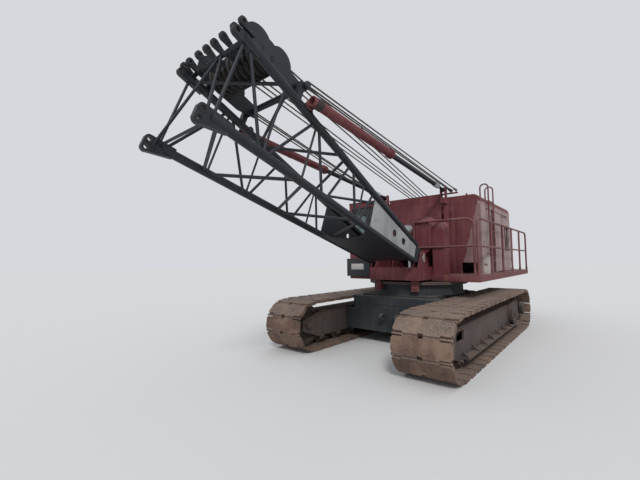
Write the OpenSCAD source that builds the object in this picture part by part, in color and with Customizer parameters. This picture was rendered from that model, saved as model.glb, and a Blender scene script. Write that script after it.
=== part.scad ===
// Crawler crane with a lattice boom butt.
// Machine frame: X forward along the boom, Y to the machine's left, Z up from the ground,
// with the swing centre at X = 0. Every node is then moved along X by origin_x.

/* [Crawlers] */
// Distance between the centre lines of the two tracks
track_gauge = 2520; // [2300:10:3100]
// Overall length of a crawler
crawler_length = 5670; // [4700:10:6900]
// Overall height of a crawler
crawler_height = 890; // [800:10:1070]
// Width of a track shoe
shoe_width = 810; // [660:10:980]
// Shoes round one track
shoe_count = 44; // [38:1:54]
// Bottom rollers of one crawler
roller_count = 9; // [6:1:11]

/* [Upperworks] */
// Height of the deck's top above the ground
deck_top = 1310; // [1250:10:1500]
// Half width of the machine over its decks
deck_half = 1405; // [1250:5:1560]
// Front edge of the decks, ahead of the swing centre
deck_front = 500; // [400:10:620]
// Rear end of the decks, behind the swing centre
deck_rear = 4450; // [3900:10:5300]
// Height of the guard rail above the deck
rail_height = 1070; // [900:10:1280]
// Half width of the machinery house
house_half = 1230; // [1120:10:1300]
// Front wall of the house, behind the swing centre
house_front = 400; // [360:10:500]
// Rear wall of the house, behind the swing centre
house_rear = 3100; // [2700:10:3400]
// Height of the house roof above the deck
house_height = 1650; // [1450:10:1900]
// Radius of the roof's long edges
roof_radius = 160; // [80:10:220]
// Thickness of the house and cab walls
wall = 40; // [30:1:60]
// Height of the cab above the deck
cab_height = 1620; // [1450:10:1900]

/* [Boom] */
// Length of the butt from foot pin to tip node
butt_length = 4590; // [3900:10:5500]
// Boom angle as it stands
boom_angle = 21.2; // [0:0.1:60]
// Half width over the chord centres at the tip
tip_half_width = 528; // [470:2:600]
// Half depth over the chord centres at the tip
tip_half_depth = 490; // [380:5:540]
// Half width over the chord centres at the foot
foot_half_width = 450; // [430:2:470]
// Half depth over the chord centres at the foot
foot_half_depth = 140; // [110:5:160]
// Radius of a chord tube
chord_r = 51; // [40:1:60]
// Radius of a lacing tube
lace_r = 18; // [14:1:24]
// Foot pin, ahead of the swing centre
foot_x = 850; // [800:10:900]
// Foot pin, above the ground
foot_z = 1640; // [1600:10:1900]
// Radius of the foot pin
foot_pin_r = 50; // [35:1:60]

/* [Hidden] */
$fn = 64;

house_color = "#6b2f35";
boom_color = "#1d2026";
shoe_color = "#6a5146";
frame_color = "#22252b";
grey_color = "#8f969b";
rope_color = "#3a3d40";

// The clearance between pieces that move past each other, and the one at a seat
run_gap = 8;
seat_gap = 0.3;
pin_gap = 0.05;

// Track: the pins run on a stadium, and each shoe is a straight piece between two pins
shoe_out = 35;
shoe_in = 20;
pin_run = crawler_length - crawler_height;
pin_radius = crawler_height / 2 - shoe_out;
pin_path = 2 * pin_run + 2 * PI * pin_radius;
shoe_pitch = pin_path / shoe_count;
axle_x = pin_run / 2;
axle_z = crawler_height / 2;
roller_r = 120;

// A point of the pin path in the X-Z plane, s along the path from the bottom front, going back
function path_point(s) =
    s < pin_run ? [axle_x - s, axle_z - pin_radius]
    : s < pin_run + PI * pin_radius
        ? let (a = (s - pin_run) / pin_radius * 180 / PI)
          [-axle_x - pin_radius * sin(a), axle_z - pin_radius * cos(a)]
    : s < 2 * pin_run + PI * pin_radius
        ? [-axle_x + (s - pin_run - PI * pin_radius), axle_z + pin_radius]
    : let (a = (s - 2 * pin_run - PI * pin_radius) / pin_radius * 180 / PI)
      [axle_x + pin_radius * sin(a), axle_z + pin_radius * cos(a)];
function pin(k) = path_point((k % shoe_count) * shoe_pitch);
// Unit vector along shoe k, and the one that points out of the loop
function shoe_along(k) = let (d = pin(k + 1) - pin(k)) d / norm(d);
function shoe_normal(k) = let (d = shoe_along(k)) [d[1], -d[0]] * -1;
function shoe_span(k) = norm(pin(k + 1) - pin(k));
// The largest wheel about a point that stays inside the loop of shoes
function inner_point(k) = pin(k) - (shoe_normal(k) + shoe_normal(k + shoe_count - 1)) / 2 * shoe_in;
function from_edge(c, p, q) = let (t = min(1, max(0, (c - p) * (q - p) / pow(norm(q - p), 2)))) norm(c - p - t * (q - p));
function wheel_fit(c) = min([for (k = [0 : shoe_count - 1]) from_edge(c, inner_point(k), inner_point(k + 1))]) - seat_gap;
idler_r = wheel_fit([axle_x, axle_z]);
tumbler_r = wheel_fit([-axle_x, axle_z]);

module place() translate([-origin_x, 0, 0]) children();
module both_sides() { children(); mirror([0, 1, 0]) children(); }
// Turns an outline in X-Z into a plate from y0 to y1
module plate(y0, y1) translate([0, y1, 0]) rotate([90, 0, 0]) linear_extrude(y1 - y0) children();
// A round bar between two points, turned about its own axis
module bar(p, q, r, turn = 0) {
    d = q - p;
    translate(p) rotate([0, acos(d[2] / norm(d)), atan2(d[1], d[0])]) rotate([0, 0, turn])
        cylinder(h = norm(d), r = r);
}
module box(low, high) translate(low) cube(high - low);

// The outline of shoe k from its own pin line: off is how far in from each pin it stops
module shoe_block(k, off, below, above) {
    a = pin(k) + shoe_along(k) * off;
    b = pin(k + 1) - shoe_along(k) * off;
    n = shoe_normal(k);
    polygon([a - n * below, b - n * below, b + n * above, a + n * above]);
}
seam_half = 5;
seam_depth = 22;
// A closed ring of shoes with a narrow groove at each seam
module shoe_ring() {
    outer = [for (k = [0 : shoe_count - 1])
        let (n = shoe_normal(k), a = shoe_along(k), m = shoe_normal(k + shoe_count - 1))
        each [pin(k) + (n + m) / 2 * (shoe_out - seam_depth),
              pin(k) + a * seam_half + n * shoe_out,
              pin(k + 1) - a * seam_half + n * shoe_out]];
    inner = [for (k = [0 : shoe_count - 1])
        pin(k) - (shoe_normal(k) + shoe_normal(k + shoe_count - 1)) / 2 * shoe_in];
    difference() { polygon(outer); polygon(inner); }
}
// Bands across a shoe: start, end, how far its notch reaches from each pin, how deep it is inside
guide_height = 60;
shoe_bands = [[0, 0.02, 50, 0], [0.02, 0.19, 28, 0], [0.19, 0.455, 0, 0], [0.455, 0.545, 26, guide_height],
              [0.545, 0.81, 0, 0], [0.81, 0.98, 28, 0], [0.98, 1, 50, 0]];
module track() color(shoe_color)
    for (b = shoe_bands)
        plate((b[0] - 0.5) * shoe_width, (b[1] - 0.5) * shoe_width)
            if (b[2] == 0) shoe_ring();
            else for (k = [0 : shoe_count - 1]) shoe_block(k, b[2], shoe_in + b[3], shoe_out);

// Crawler frame: two side plates tied by webs, open at both ends for the wheels
frame_half = 235;
side_plate = 30;
axle_r = 60;
frame_low = 205;
frame_high = crawler_height - 240;
frame_nose = 130;
frame_taper = 420;
ledge_out = 110;
module frame_outline() {
    e = axle_x + frame_nose;
    t = e - frame_taper;
    polygon([[-e, axle_z - 90], [-t, frame_low], [t, frame_low], [e, axle_z - 90],
             [e, axle_z + 90], [t, frame_high], [-t, frame_high], [-e, axle_z + 90]]);
}
roller_z = shoe_out + shoe_in + roller_r + seat_gap;
roller_span = pin_run - 2 * sqrt(pow(max(idler_r, tumbler_r) + roller_r + run_gap, 2) - pow(axle_z - roller_z, 2));
case_x = 1090 - axle_x;
case_r = 230;
module crawler_frame() color(frame_color) {
    difference() {
        union() {
            for (y = [-frame_half, frame_half - side_plate])
                plate(y, y + side_plate) frame_outline();
            inner = axle_x - idler_r - 60;
            box([-inner, -frame_half, frame_high - 25], [inner, frame_half, frame_high]);
            box([-inner, -frame_half, frame_low + 110], [inner, frame_half, frame_low + 135]);
            // Outer ledge with its gussets
            box([-inner, frame_half, frame_low], [inner, frame_half + ledge_out, frame_low + 20]);
            for (i = [0 : 8]) translate([-inner + 60 + i * (2 * inner - 120) / 8, 0, 0])
                translate([-12, frame_half, frame_low + 20]) rotate([90, 0, 90]) linear_extrude(24)
                    polygon([[0, 0], [ledge_out, 0], [0, 90]]);
            // Round case of the drive on the outer plate
            translate([case_x, frame_half, axle_z + 20]) rotate([-90, 0, 0]) cylinder(h = 90, r = case_r);
        }
        // Slot for the track adjuster in the outer plate
        box([axle_x - 590, frame_half - side_plate - 1, axle_z + 5], [axle_x - 260, frame_half + 1, axle_z + 145]);
        for (x = [-axle_x, axle_x]) translate([x, frame_half + 1, axle_z]) rotate([90, 0, 0])
            cylinder(h = 2 * frame_half + 2, r = axle_r + pin_gap);
        for (i = [0 : roller_count - 1]) translate([roller_x(i), frame_half + 1, roller_z])
            rotate([90, 0, 0]) cylinder(h = 2 * frame_half + 2, r = 26);
    }
}
function roller_x(i) = -roller_span / 2 + i * roller_span / (roller_count - 1);

// A wheel on a solid axle, its axis along Y: rim radius, rim width, hub radius, axle radius, half length
module wheel(r, w, groove, hub, axle, half) rotate([90, 0, 0]) {
    rotate_extrude() polygon([[0, -half], [axle, -half], [axle, -w / 2 - 20], [hub, -w / 2 - 20],
        [hub, -w / 2 + 30], [r - 70, -w / 2 + 30], [r - 70, -w / 2], [r, -w / 2],
        [r, -groove / 2], [r - 75, -groove / 2], [r - 75, groove / 2], [r, groove / 2],
        [r, w / 2], [r - 70, w / 2], [r - 70, w / 2 - 30], [hub, w / 2 - 30],
        [hub, w / 2 + 20], [axle, w / 2 + 20], [axle, half], [0, half]]);
}
wheel_w = 360;
guide_gap = shoe_width * 0.1 + 24;
module on_each_track() both_sides() translate([0, track_gauge / 2, 0]) children();

module idlers() color(frame_color) place() on_each_track()
    translate([axle_x, 0, axle_z]) wheel(idler_r, wheel_w, guide_gap, 130, axle_r, frame_half + 40);

// Drive tumblers, with the final drive's cover on the outer side
module drive_tumblers() color(frame_color) place() on_each_track()
    translate([-axle_x, 0, axle_z]) {
        wheel(tumbler_r, wheel_w, guide_gap, 150, axle_r, frame_half + 70);
        rotate([-90, 0, 0]) translate([0, 0, frame_half + 20]) cylinder(h = 60, r = 150);
    }

module track_rollers() color(frame_color) place() on_each_track()
    for (i = [0 : roller_count - 1]) translate([roller_x(i), 0, roller_z]) rotate([90, 0, 0])
        rotate_extrude() polygon([[0, -frame_half - 20], [26 - pin_gap, -frame_half - 20],
            [26 - pin_gap, -160], [roller_r, -160], [roller_r, -guide_gap / 2],
            [roller_r - 75, -guide_gap / 2], [roller_r - 75, guide_gap / 2],
            [roller_r, guide_gap / 2], [roller_r, 160], [26 - pin_gap, 160],
            [26 - pin_gap, frame_half + 20], [0, frame_half + 20]]);

module crawler_frame_left() place() translate([0, track_gauge / 2, 0]) crawler_frame();
module crawler_frame_right() place() translate([0, -track_gauge / 2, 0]) mirror([0, 1, 0]) crawler_frame();
module track_left() place() translate([0, track_gauge / 2, 0]) track();
module track_right() place() translate([0, -track_gauge / 2, 0]) track();

// Carbody: a box on two axle beams that run to the crawler frames, under the roller path
beam_x = 1010;
beam_half = 190;
body_low = 200;
body_half = 740;
body_high = 930;
pedestal_top = deck_top - 180;
path_r = 1000;
pedestal_r = path_r - 90;
// Below this height the pedestal is narrower, to pass between the tracks
pedestal_low = max(body_high, crawler_height + run_gap);
pedestal_in = min(pedestal_r, (track_gauge - shoe_width) / 2 - run_gap);
king_r = 110;
frame_inner = track_gauge / 2 - frame_half;
tow_eye_r = 32;
tow_eye_t = 60;
tow_eye_x = beam_x + beam_half + 70;
tow_eye_z = 520;
module carbody() color(frame_color) place() {
    difference() {
        union() {
            for (x = [-beam_x, beam_x])
                box([x - beam_half, -frame_inner, body_low + 40], [x + beam_half, frame_inner, frame_high]);
            box([-beam_x, -body_half, body_low + 40], [beam_x, body_half, body_high]);
            for (x = [-beam_x, beam_x])
                box([x - beam_half, -body_half - 95, frame_high], [x + beam_half, body_half + 95, body_high - 30]);
            translate([0, 0, body_high - 1]) cylinder(h = pedestal_low - body_high + 2, r = pedestal_in);
            translate([0, 0, pedestal_low - 1]) cylinder(h = pedestal_top - pedestal_low + 1, r = pedestal_r);
            translate([0, 0, body_low + 50]) cylinder(h = deck_top - body_low - 10, r = king_r);
            both_sides() plate(tow_eye_t + 60, 2 * tow_eye_t + 60) tow_outline();
        }
        both_sides() for (x = [-tow_eye_x, tow_eye_x])
            translate([x, 2 * tow_eye_t + 61, tow_eye_z]) rotate([90, 0, 0])
                cylinder(h = tow_eye_t + 2, r = tow_eye_r);
    }
}
module tow_outline() {
    square_x = tow_eye_x;
    translate([-square_x, tow_eye_z - 70]) square([2 * square_x, 140]);
    for (x = [-square_x, square_x]) translate([x, tow_eye_z]) circle(r = 70);
}

// Roller path: a flanged ring with the swing gear's teeth inside its rim
tooth_count = 84;
tooth_tip = path_r - 150;
tooth_root = tooth_tip + 22;
path_low = pedestal_top;
path_high = deck_top - 130;
module roller_path() color(frame_color) place() translate([0, 0, path_low])
    linear_extrude(path_high - path_low) difference() {
        circle(r = path_r);
        circle(r = tooth_tip);
        for (i = [0 : tooth_count - 1]) rotate(i * 360 / tooth_count)
            polygon([[tooth_tip - 5, -10], [tooth_root, -6], [tooth_root, 6], [tooth_tip - 5, 10]]);
    }

// Rotating bed: two long beams, the front beam between them, cross beams and the king pin hub
bed_low = deck_top - 90;
bed_high = deck_top + 150;
bed_in = 380;
bed_out = 520;
bed_front = 1080;
bed_rear = deck_rear - 100;
lug_in = 22;
foot_plate = 60;
boss_gap = run_gap;
module foot_ear(y0, y1) plate(y0, y1) difference() {
    union() {
        translate([foot_x, foot_z]) circle(r = foot_pin_r + 75);
        polygon([[foot_x - 260, bed_high], [foot_x + 225, bed_high],
                 [foot_x + foot_pin_r + 75, foot_z], [foot_x - foot_pin_r - 75, foot_z]]);
    }
    translate([foot_x, foot_z]) circle(r = foot_pin_r + pin_gap);
}
module rotating_bed() color(house_color) place() {
    both_sides() {
        box([-bed_rear, bed_in, bed_low], [bed_front, bed_out, bed_high]);
        ear_in = foot_half_width - foot_plate / 2 - boss_gap;
        ear_out = foot_half_width + foot_plate / 2 + boss_gap;
        foot_ear(ear_in - lug_in, ear_in);
        foot_ear(ear_out, ear_out + lug_in);
    }
    difference() {
        union() {
            box([-1250, -bed_in, bed_low], [bed_front - 110, bed_in, bed_low + 30]);
            translate([0, 0, bed_low]) cylinder(h = bed_high - bed_low, r = 170);
        }
        translate([0, 0, bed_low - 1]) cylinder(h = 500, r = king_r + pin_gap);
    }
    for (x = [bed_front - 110, -1300, -2500, -bed_rear])
        box([x, -bed_in, bed_low], [x + 110, bed_in, bed_high]);
}

// Rollers under the bed that run on the path, and hook rollers under its rim on their brackets
hook_r = 45;
hook_gap = 6;
hook_angle = 22;
module swing_rollers() color(frame_color) place() for (x = [-1, 1], y = [-1, 1])
    rotate([0, 0, atan2(y * sin(hook_angle), x * cos(hook_angle))])
    translate([path_r - 110, 0, (path_high + bed_low) / 2]) rotate([0, 90, 0])
        cylinder(h = 90, r = (bed_low - path_high) / 2 - seat_gap);
module hook_rollers() color(house_color) place() for (x = [-1, 1], y = [-1, 1]) {
    a = atan2(y * sin(hook_angle), x * cos(hook_angle));
    rotate([0, 0, a]) {
        hook_z = path_low - hook_gap - hook_r;
        box([path_r + 15, -70, hook_z - hook_r - 25], [path_r + 45, 70, bed_low - seat_gap]);
        box([pedestal_r + 14, -25, hook_z - 8], [path_r + 20, 25, hook_z + 8]);
        translate([pedestal_r + 14, 0, hook_z]) rotate([0, 90, 0]) cylinder(h = 70, r = hook_r);
    }
}

// Decks, their edge beams and the brackets below
deck_plate = 40;
deck_edge = 120;
module deck() color(house_color) {
    box([-deck_rear, bed_out, deck_top - deck_plate], [deck_front, deck_half, deck_top]);
    box([-deck_rear, deck_half - 45, deck_top - deck_edge], [deck_front, deck_half, deck_top - deck_plate]);
    for (x = [-deck_rear : (deck_rear + deck_front - 45) / 5 : deck_front - 44])
        box([x, bed_out, deck_top - deck_edge], [x + 45, deck_half - 45, deck_top - deck_plate]);
}
module deck_left() place() deck();
module deck_right() place() mirror([0, 1, 0]) deck();

// Guard rail: posts at the deck's edge, a top rail and a mid rail, with round corners
rail_r = 21;
rail_y = deck_half - rail_r - 6;
rail_bays = 5;
rail_bend = 140;
module handrail(front_in) color(house_color) {
    x0 = deck_front - rail_r - 6;
    x1 = -deck_rear + rail_r + 6;
    top = deck_top + rail_height - rail_r;
    mid = deck_top + rail_height / 2;
    for (i = [0 : rail_bays]) let (x = x0 + (x1 - x0) * i / rail_bays)
        bar([x, rail_y, deck_top], [x, rail_y, i == 0 ? mid : top - (i == rail_bays ? rail_bend : 0)], rail_r);
    bar([x0 - rail_bend, rail_y, top], [x1 + rail_bend, rail_y, top], rail_r);
    bar([x0, rail_y, mid], [x1, rail_y, mid], rail_r * 0.9);
    translate([x1 + rail_bend, rail_y, top - rail_bend]) rotate([90, 0, 180])
        rotate_extrude(angle = 90) translate([rail_bend, 0]) circle(r = rail_r);
    // Front rail, bent down to the deck at the corner
    translate([x0 - rail_bend, rail_y, top - rail_bend]) rotate([90, 0, 0])
        rotate_extrude(angle = 90) translate([rail_bend, 0]) circle(r = rail_r);
    bar([x0, rail_y, mid], [x0, rail_y, top - rail_bend], rail_r);
    if (front_in > 0) {
        y1 = rail_y - 60;
        bar([x0, front_in, mid], [x0, rail_y, mid], rail_r * 0.9);
        bar([x0, front_in, bed_low + 30], [x0, front_in, top], rail_r);
        bar([x0, front_in, top], [x0, y1 - rail_bend, top], rail_r);
        translate([x0, y1 - rail_bend, top - rail_bend]) rotate([90, 0, 90])
            rotate_extrude(angle = 90) translate([rail_bend, 0]) circle(r = rail_r);
        bar([x0, y1, deck_top], [x0, y1, top - rail_bend], rail_r);
    }
}
module handrail_left() place() handrail(165);
module handrail_right() place() mirror([0, 1, 0]) difference() {
    handrail(0);
    // The cab stands at the front of this deck
    translate([-house_front - 1000, 0, 0]) cube([3000, 3000, 5000]);
}

// Machinery house: walls of one thickness under a roof with rounded long edges
roof_top = deck_top + house_height;
roof_low = roof_top - roof_radius;
opening_half = 700;
opening_top = roof_top - 170;
module house_outline(inset) {
    r = roof_radius - inset;
    translate([-house_half + inset, deck_top]) square([2 * (house_half - inset), house_height - roof_radius]);
    translate([-house_half + roof_radius, deck_top]) square([2 * (house_half - roof_radius), house_height - inset]);
    for (y = [-1, 1]) translate([y * (house_half - roof_radius), roof_low]) circle(r = r);
}
module across(x0, x1) translate([x0, 0, 0]) rotate([90, 0, 90]) linear_extrude(x1 - x0) children();
module house_front_wall() color(house_color) place() across(-house_front - wall, -house_front) difference() {
    house_outline(wall);
    translate([-opening_half, deck_top - 1]) square([2 * opening_half, opening_top - deck_top + 1]);
    translate([820, deck_top - 1]) square([330, 231]);
}
module house_rear_wall() color(house_color) place() across(-house_rear, -house_rear + wall) difference() {
    house_outline(wall);
    for (i = [0 : 5]) translate([-700, deck_top + 520 + i * 110]) square([1400, 55]);
    // The bed's long beams pass below
    for (y = [-bed_out - run_gap, bed_in - run_gap]) translate([y, deck_top - 1])
        square([bed_out - bed_in + 2 * run_gap, bed_high + run_gap - deck_top + 1]);
}
// The side door slides to the rear on the outside of the left wall
door_x0 = -1250;
door_w = 760;
door_h = 1300;
door_z = deck_top + 60;
module side_wall() color(house_color) difference() {
    box([-house_rear, house_half - wall, deck_top], [-house_front, house_half, roof_low]);
    children();
}
module house_left_wall() color(house_color) place() {
    side_wall() {
        box([door_x0 - door_w + 40, house_half - wall - 1, door_z + 40],
            [door_x0 - 40, house_half + 1, door_z + door_h - 40]);
        box([-house_rear + 150, house_half - wall - 1, deck_top + 500],
            [-house_rear + 650, house_half + 1, deck_top + 1100]);
    }
    box([door_x0 - 2 * door_w, house_half, door_z + door_h + 8], [door_x0 + 5, house_half + 45, door_z + door_h + 38]);
    box([door_x0 - 2 * door_w, house_half, door_z - 38], [door_x0 + 5, house_half + 45, door_z - seat_gap]);
}
module house_right_wall() place() mirror([0, 1, 0]) side_wall() {
    for (i = [0 : 6]) translate([-house_rear + 250, house_half - wall - 1, deck_top + 450 + i * 110])
        cube([1500, wall + 2, 55]);
}
module house_roof() color(house_color) place() across(-house_rear, -house_front) difference() {
    intersection() {
        house_outline(0);
        translate([-house_half - 1, roof_low]) square([2 * house_half + 2, roof_radius + 1]);
    }
    translate([-house_half + wall, deck_top]) square([2 * (house_half - wall), house_height - roof_radius]);
    difference() {
        house_outline(wall);
        translate([-house_half, 0]) square([2 * house_half, roof_low]);
    }
}
module house_door() color(house_color) place() {
    box([door_x0 - door_w, house_half + 6, door_z], [door_x0, house_half + 34, door_z + door_h]);
    bar([door_x0 - 70, house_half + 60, door_z + 500], [door_x0 - 70, house_half + 60, door_z + 720], 10);
    for (z = [510, 710]) bar([door_x0 - 70, house_half + 30, door_z + z], [door_x0 - 70, house_half + 60, door_z + z], 10);
}

// Operator's cab at the right front corner
hinge_r = 14;
cab_in = 722;
cab_out = deck_half;
cab_front = deck_front;
cab_rear = -house_front;
cab_top = deck_top + cab_height;
sill = deck_top + 760;
head = cab_top - 150;
cab_door_x0 = cab_rear + 120;
cab_door_x1 = cab_front - 110;
module cab_openings(gap) {
    // Front window, window towards the boom and door in the outer side
    box([cab_front - wall - 1, -cab_out + 90 + gap, sill + gap], [cab_front + 1, -cab_in - 90 - gap, head - gap]);
    box([cab_rear + 130 + gap, -cab_in - wall - 1, sill + gap], [cab_front - 130 - gap, -cab_in + 1, head - gap]);
}
module cab_shell() { cab_walls(); cab_hinges(); }
module cab_walls() color(house_color) place() difference() {
    box([cab_rear, -cab_out, deck_top], [cab_front, -cab_in, cab_top]);
    box([cab_rear + wall, -cab_out + wall, deck_top + wall], [cab_front - wall, -cab_in - wall, cab_top - wall]);
    cab_openings(0);
    box([cab_door_x0 - 6, -cab_out - 1, deck_top + 80 - 6], [cab_door_x1 + 6, -cab_out + wall + 1, head + 6]);
}
cab_hinge_y = -cab_out - hinge_r - 2;
// Fixed halves of the door's hinges
module cab_hinges() color(house_color) place() for (z = [150, 1050]) {
    translate([cab_door_x0, cab_hinge_y, deck_top + 80 + z - 60]) cylinder(h = 60 - seat_gap, r = hinge_r);
    box([cab_door_x0 - 60, cab_hinge_y, deck_top + 80 + z - 60],
        [cab_door_x0, -cab_out, deck_top + 80 + z - seat_gap]);
}
module cab_door() color(house_color) place() {
    difference() {
        box([cab_door_x0, -cab_out, deck_top + 80], [cab_door_x1, -cab_out + wall, head]);
        box([cab_door_x0 + 80, -cab_out - 1, sill], [cab_door_x1 - 80, -cab_out + wall + 1, head - 80]);
    }
    for (z = [150, 1050]) translate([cab_door_x0, cab_hinge_y, deck_top + 80 + z]) cylinder(h = 90, r = hinge_r);
    for (z = [150, 1050]) box([cab_door_x0, cab_hinge_y, deck_top + 80 + z],
                              [cab_door_x0 + 70, -cab_out, deck_top + 170 + z]);
}
glass = 6;
module cab_glass() color("#9db4bd", 0.5) place() {
    box([cab_front - wall / 2 - glass, -cab_out + 90 + seat_gap, sill + seat_gap],
        [cab_front - wall / 2, -cab_in - 90 - seat_gap, head - seat_gap]);
    box([cab_rear + 130 + seat_gap, -cab_in - wall / 2 - glass, sill + seat_gap],
        [cab_front - 130 - seat_gap, -cab_in - wall / 2, head - seat_gap]);
}
seat_x = cab_rear + 330;
seat_y = -(cab_in + cab_out) / 2;
module operator_seat() color("#2b2b2b") place() {
    box([seat_x - 120, seat_y - 120, deck_top + wall], [seat_x + 120, seat_y + 120, deck_top + 380]);
    box([seat_x - 230, seat_y - 230, deck_top + 380], [seat_x + 240, seat_y + 230, deck_top + 480]);
    box([seat_x - 230, seat_y - 220, deck_top + 480], [seat_x - 140, seat_y + 220, deck_top + 1000]);
}
module control_levers() color("#2b2b2b") place() {
    box([cab_front - 140, -cab_out + 100, deck_top + wall], [cab_front - 60, -cab_in - 100, deck_top + 560]);
    for (i = [0 : 3]) let (y = -cab_out + 160 + i * 100) {
        bar([cab_front - 95, y, deck_top + 550], [cab_front - 120, y, deck_top + 800], 10);
        translate([cab_front - 121, y, deck_top + 805]) sphere(r = 22);
    }
}
// Dark box below the cab's front edge, with its bare plate
module plate_box() color(frame_color) place() {
    box([cab_front, -cab_out - 40, deck_top - 60], [cab_front + 70, -cab_in - 130, deck_top + 330]);
    box([cab_front + 70, -1320, deck_top + 90], [cab_front + 76, -990, deck_top + 220]);
}

module engine() color("#3c4043") place() box([-2850, -400, bed_high], [-1600, 400, deck_top + 1050]);

ballast_half = 1000;
module counterweight() color(house_color) place() difference() {
    box([-deck_rear - 50, -ballast_half, bed_high], [-3620, ballast_half, deck_top + 1150]);
    translate([-deck_rear - 51, -ballast_half - 1, bed_high - 1]) cube([120, 160, 1200]);
    translate([-deck_rear - 51, ballast_half - 159, bed_high - 1]) cube([120, 160, 1200]);
}

// Hoist drum between two side frames
drum_x = -260;
drum_z = deck_top + 640;
drum_r = 210;
flange_r = 350;
frame_t = 30;
frame_y = 460;
drum_y = frame_y - run_gap - 22;
shaft_r = 45;
module drum_frames() color(house_color) place() both_sides() plate(frame_y, frame_y + frame_t) difference() {
    union() {
        polygon([[drum_x - 700, bed_high], [drum_x + 480, bed_high], [drum_x + 260, drum_z + 120],
                 [drum_x - 260, drum_z + 200], [drum_x - 600, drum_z]]);
        translate([drum_x, drum_z]) circle(r = 150);
    }
    translate([drum_x, drum_z]) circle(r = shaft_r + pin_gap);
}
module hoist_drum() color(rope_color) place() translate([drum_x, 0, drum_z]) rotate([-90, 0, 0])
    rotate_extrude() polygon([[0, -frame_y - 60], [shaft_r, -frame_y - 60], [shaft_r, -drum_y],
        [flange_r, -drum_y], [flange_r, -drum_y + 25], [drum_r, -drum_y + 25],
        [drum_r, drum_y - 25], [flange_r, drum_y - 25], [flange_r, drum_y],
        [shaft_r, drum_y], [shaft_r, frame_y + 60], [0, frame_y + 60]]);

// Hoods in front of the drum: arched tops that rise to the rear, the inner one on a narrower foot.
// Y from and to, Y of its foot from and to, the foot's height, the crest's height at the front
hoods = [[120, 525, 200, bed_in - run_gap, bed_low + 30, deck_top + 1070],
         [535, 765, 535, 765, deck_top, deck_top + 935]];
hood_neck = [deck_top + 390, deck_top + 540];
hood_x = [150, 450];
hood_rise = 22;
module drum_guards() color(house_color) place() for (h = hoods) {
    mid = (h[0] + h[1]) / 2;
    arc = (h[1] - h[0]) / 2 * 1.12;
    intersection() {
        across(hood_x[0], hood_x[1]) polygon([[h[2], h[4]], [h[3], h[4]], [h[3], hood_neck[0]],
            [h[1], hood_neck[1]], [h[1], h[5] + 400], [h[0], h[5] + 400], [h[0], hood_neck[1]],
            [h[2], hood_neck[0]]]);
        translate([hood_x[1], mid, h[5]]) rotate([0, hood_rise, 0]) translate([-1000, 0, -arc]) union() {
            rotate([0, 90, 0]) cylinder(h = 2000, r = arc);
            translate([0, -arc, -2000]) cube([2000, 2 * arc, 2000]);
        }
    }
}

// Gantry, let down: front posts on the decks, the head with the stops' forks and the sheaves,
// and the back legs that run down through the house to the bed
gantry_front = 45;
gantry_back = -60;
head_low = deck_top + 1440;
head_high = deck_top + 1640;
head_half = 590;
apron_low = deck_top + 860;
ledge_half = 714;
ledge_high = head_low + 110;
outrigger_half = 900;
post_y = 665;
post_half = 35;
leg_in = 410;
leg_t = 50;
leg_foot = -2950;
stop_y = 660;
stop_pin_x = 100;
stop_pin_z = deck_top + 1720;
eye_r = 45;
eye_half = 22;
ear_half = 54;
ear_t = 16;
gsheave_r = 150;
gsheave_x = -230;
gsheave_z = deck_top + 1530;
gsheave_shaft = 30;
gsheave_y = [40, 120, 200];
hanger_y = 255;
anchor_y = [755, 785, 870];
module gantry() color(house_color) place() {
    both_sides() {
        box([gantry_back, post_y - post_half, deck_top], [gantry_front, post_y + post_half, head_low]);
        plate(leg_in, leg_in + leg_t) polygon([[gantry_back, head_low], [gantry_back, head_low + 110],
            [leg_foot - 60, bed_high + 70], [leg_foot - 60, bed_high], [leg_foot + 60, bed_high]]);
        plate(hanger_y, hanger_y + 14) difference() {
            union() {
                translate([gsheave_x, gsheave_z]) circle(r = 60);
                polygon([[gsheave_x, gsheave_z - 60], [gantry_back, head_low], [gantry_back, head_high],
                         [gsheave_x, gsheave_z + 60]]);
            }
            translate([gsheave_x, gsheave_z]) circle(r = gsheave_shaft + pin_gap);
        }
        // Open fork of a boom stop, ahead of the head
        box([gantry_front, stop_y - ear_half, head_low], [stop_pin_x + 60, stop_y + ear_half, ledge_high]);
        for (y = [stop_y - ear_half, stop_y + ear_half - ear_t])
            plate(y, y + ear_t) polygon([[gantry_front, ledge_high - 20], [stop_pin_x + 60, ledge_high - 20],
                [stop_pin_x + 60, stop_pin_z + 30], [stop_pin_x + 20, stop_pin_z + 60],
                [gantry_front + 15, stop_pin_z + 60], [gantry_front, stop_pin_z + 30]]);
        for (y = anchor_y) plate(y - 6, y + 6) difference() {
            polygon([[gantry_back, head_high], [gantry_back + 45, head_high], [gantry_back + 40, head_high + 90],
                     [gantry_back + 5, head_high + 90]]);
            translate([gantry_back + 22, head_high + 65]) circle(r = 11);
        }
    }
    box([gantry_back, -head_half, head_low], [gantry_front, head_half, head_high]);
    box([gantry_back, -ledge_half, head_low], [gantry_front, ledge_half, ledge_high]);
    // Apron in front of the drum
    box([gantry_front - 5, -head_half, apron_low], [gantry_front + 12, head_half, head_low + 60]);
    box([gantry_back, -outrigger_half, head_high], [gantry_back + 45, outrigger_half, head_high + 25]);
}
// A rope sheave on the Y axis, with its groove
module sheave(r, w, bore) rotate([90, 0, 0]) rotate_extrude()
    polygon([[bore, -w / 2], [r, -w / 2], [r - 25, -6], [r - 25, 6], [r, w / 2], [bore, w / 2]]);
module gantry_sheaves() color(rope_color) place() translate([gsheave_x, 0, gsheave_z]) both_sides() {
    for (y = gsheave_y) translate([0, y, 0]) sheave(gsheave_r, 44, gsheave_shaft - 1);
    rotate([-90, 0, 0]) cylinder(h = hanger_y + 30, r = gsheave_shaft);
}

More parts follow.
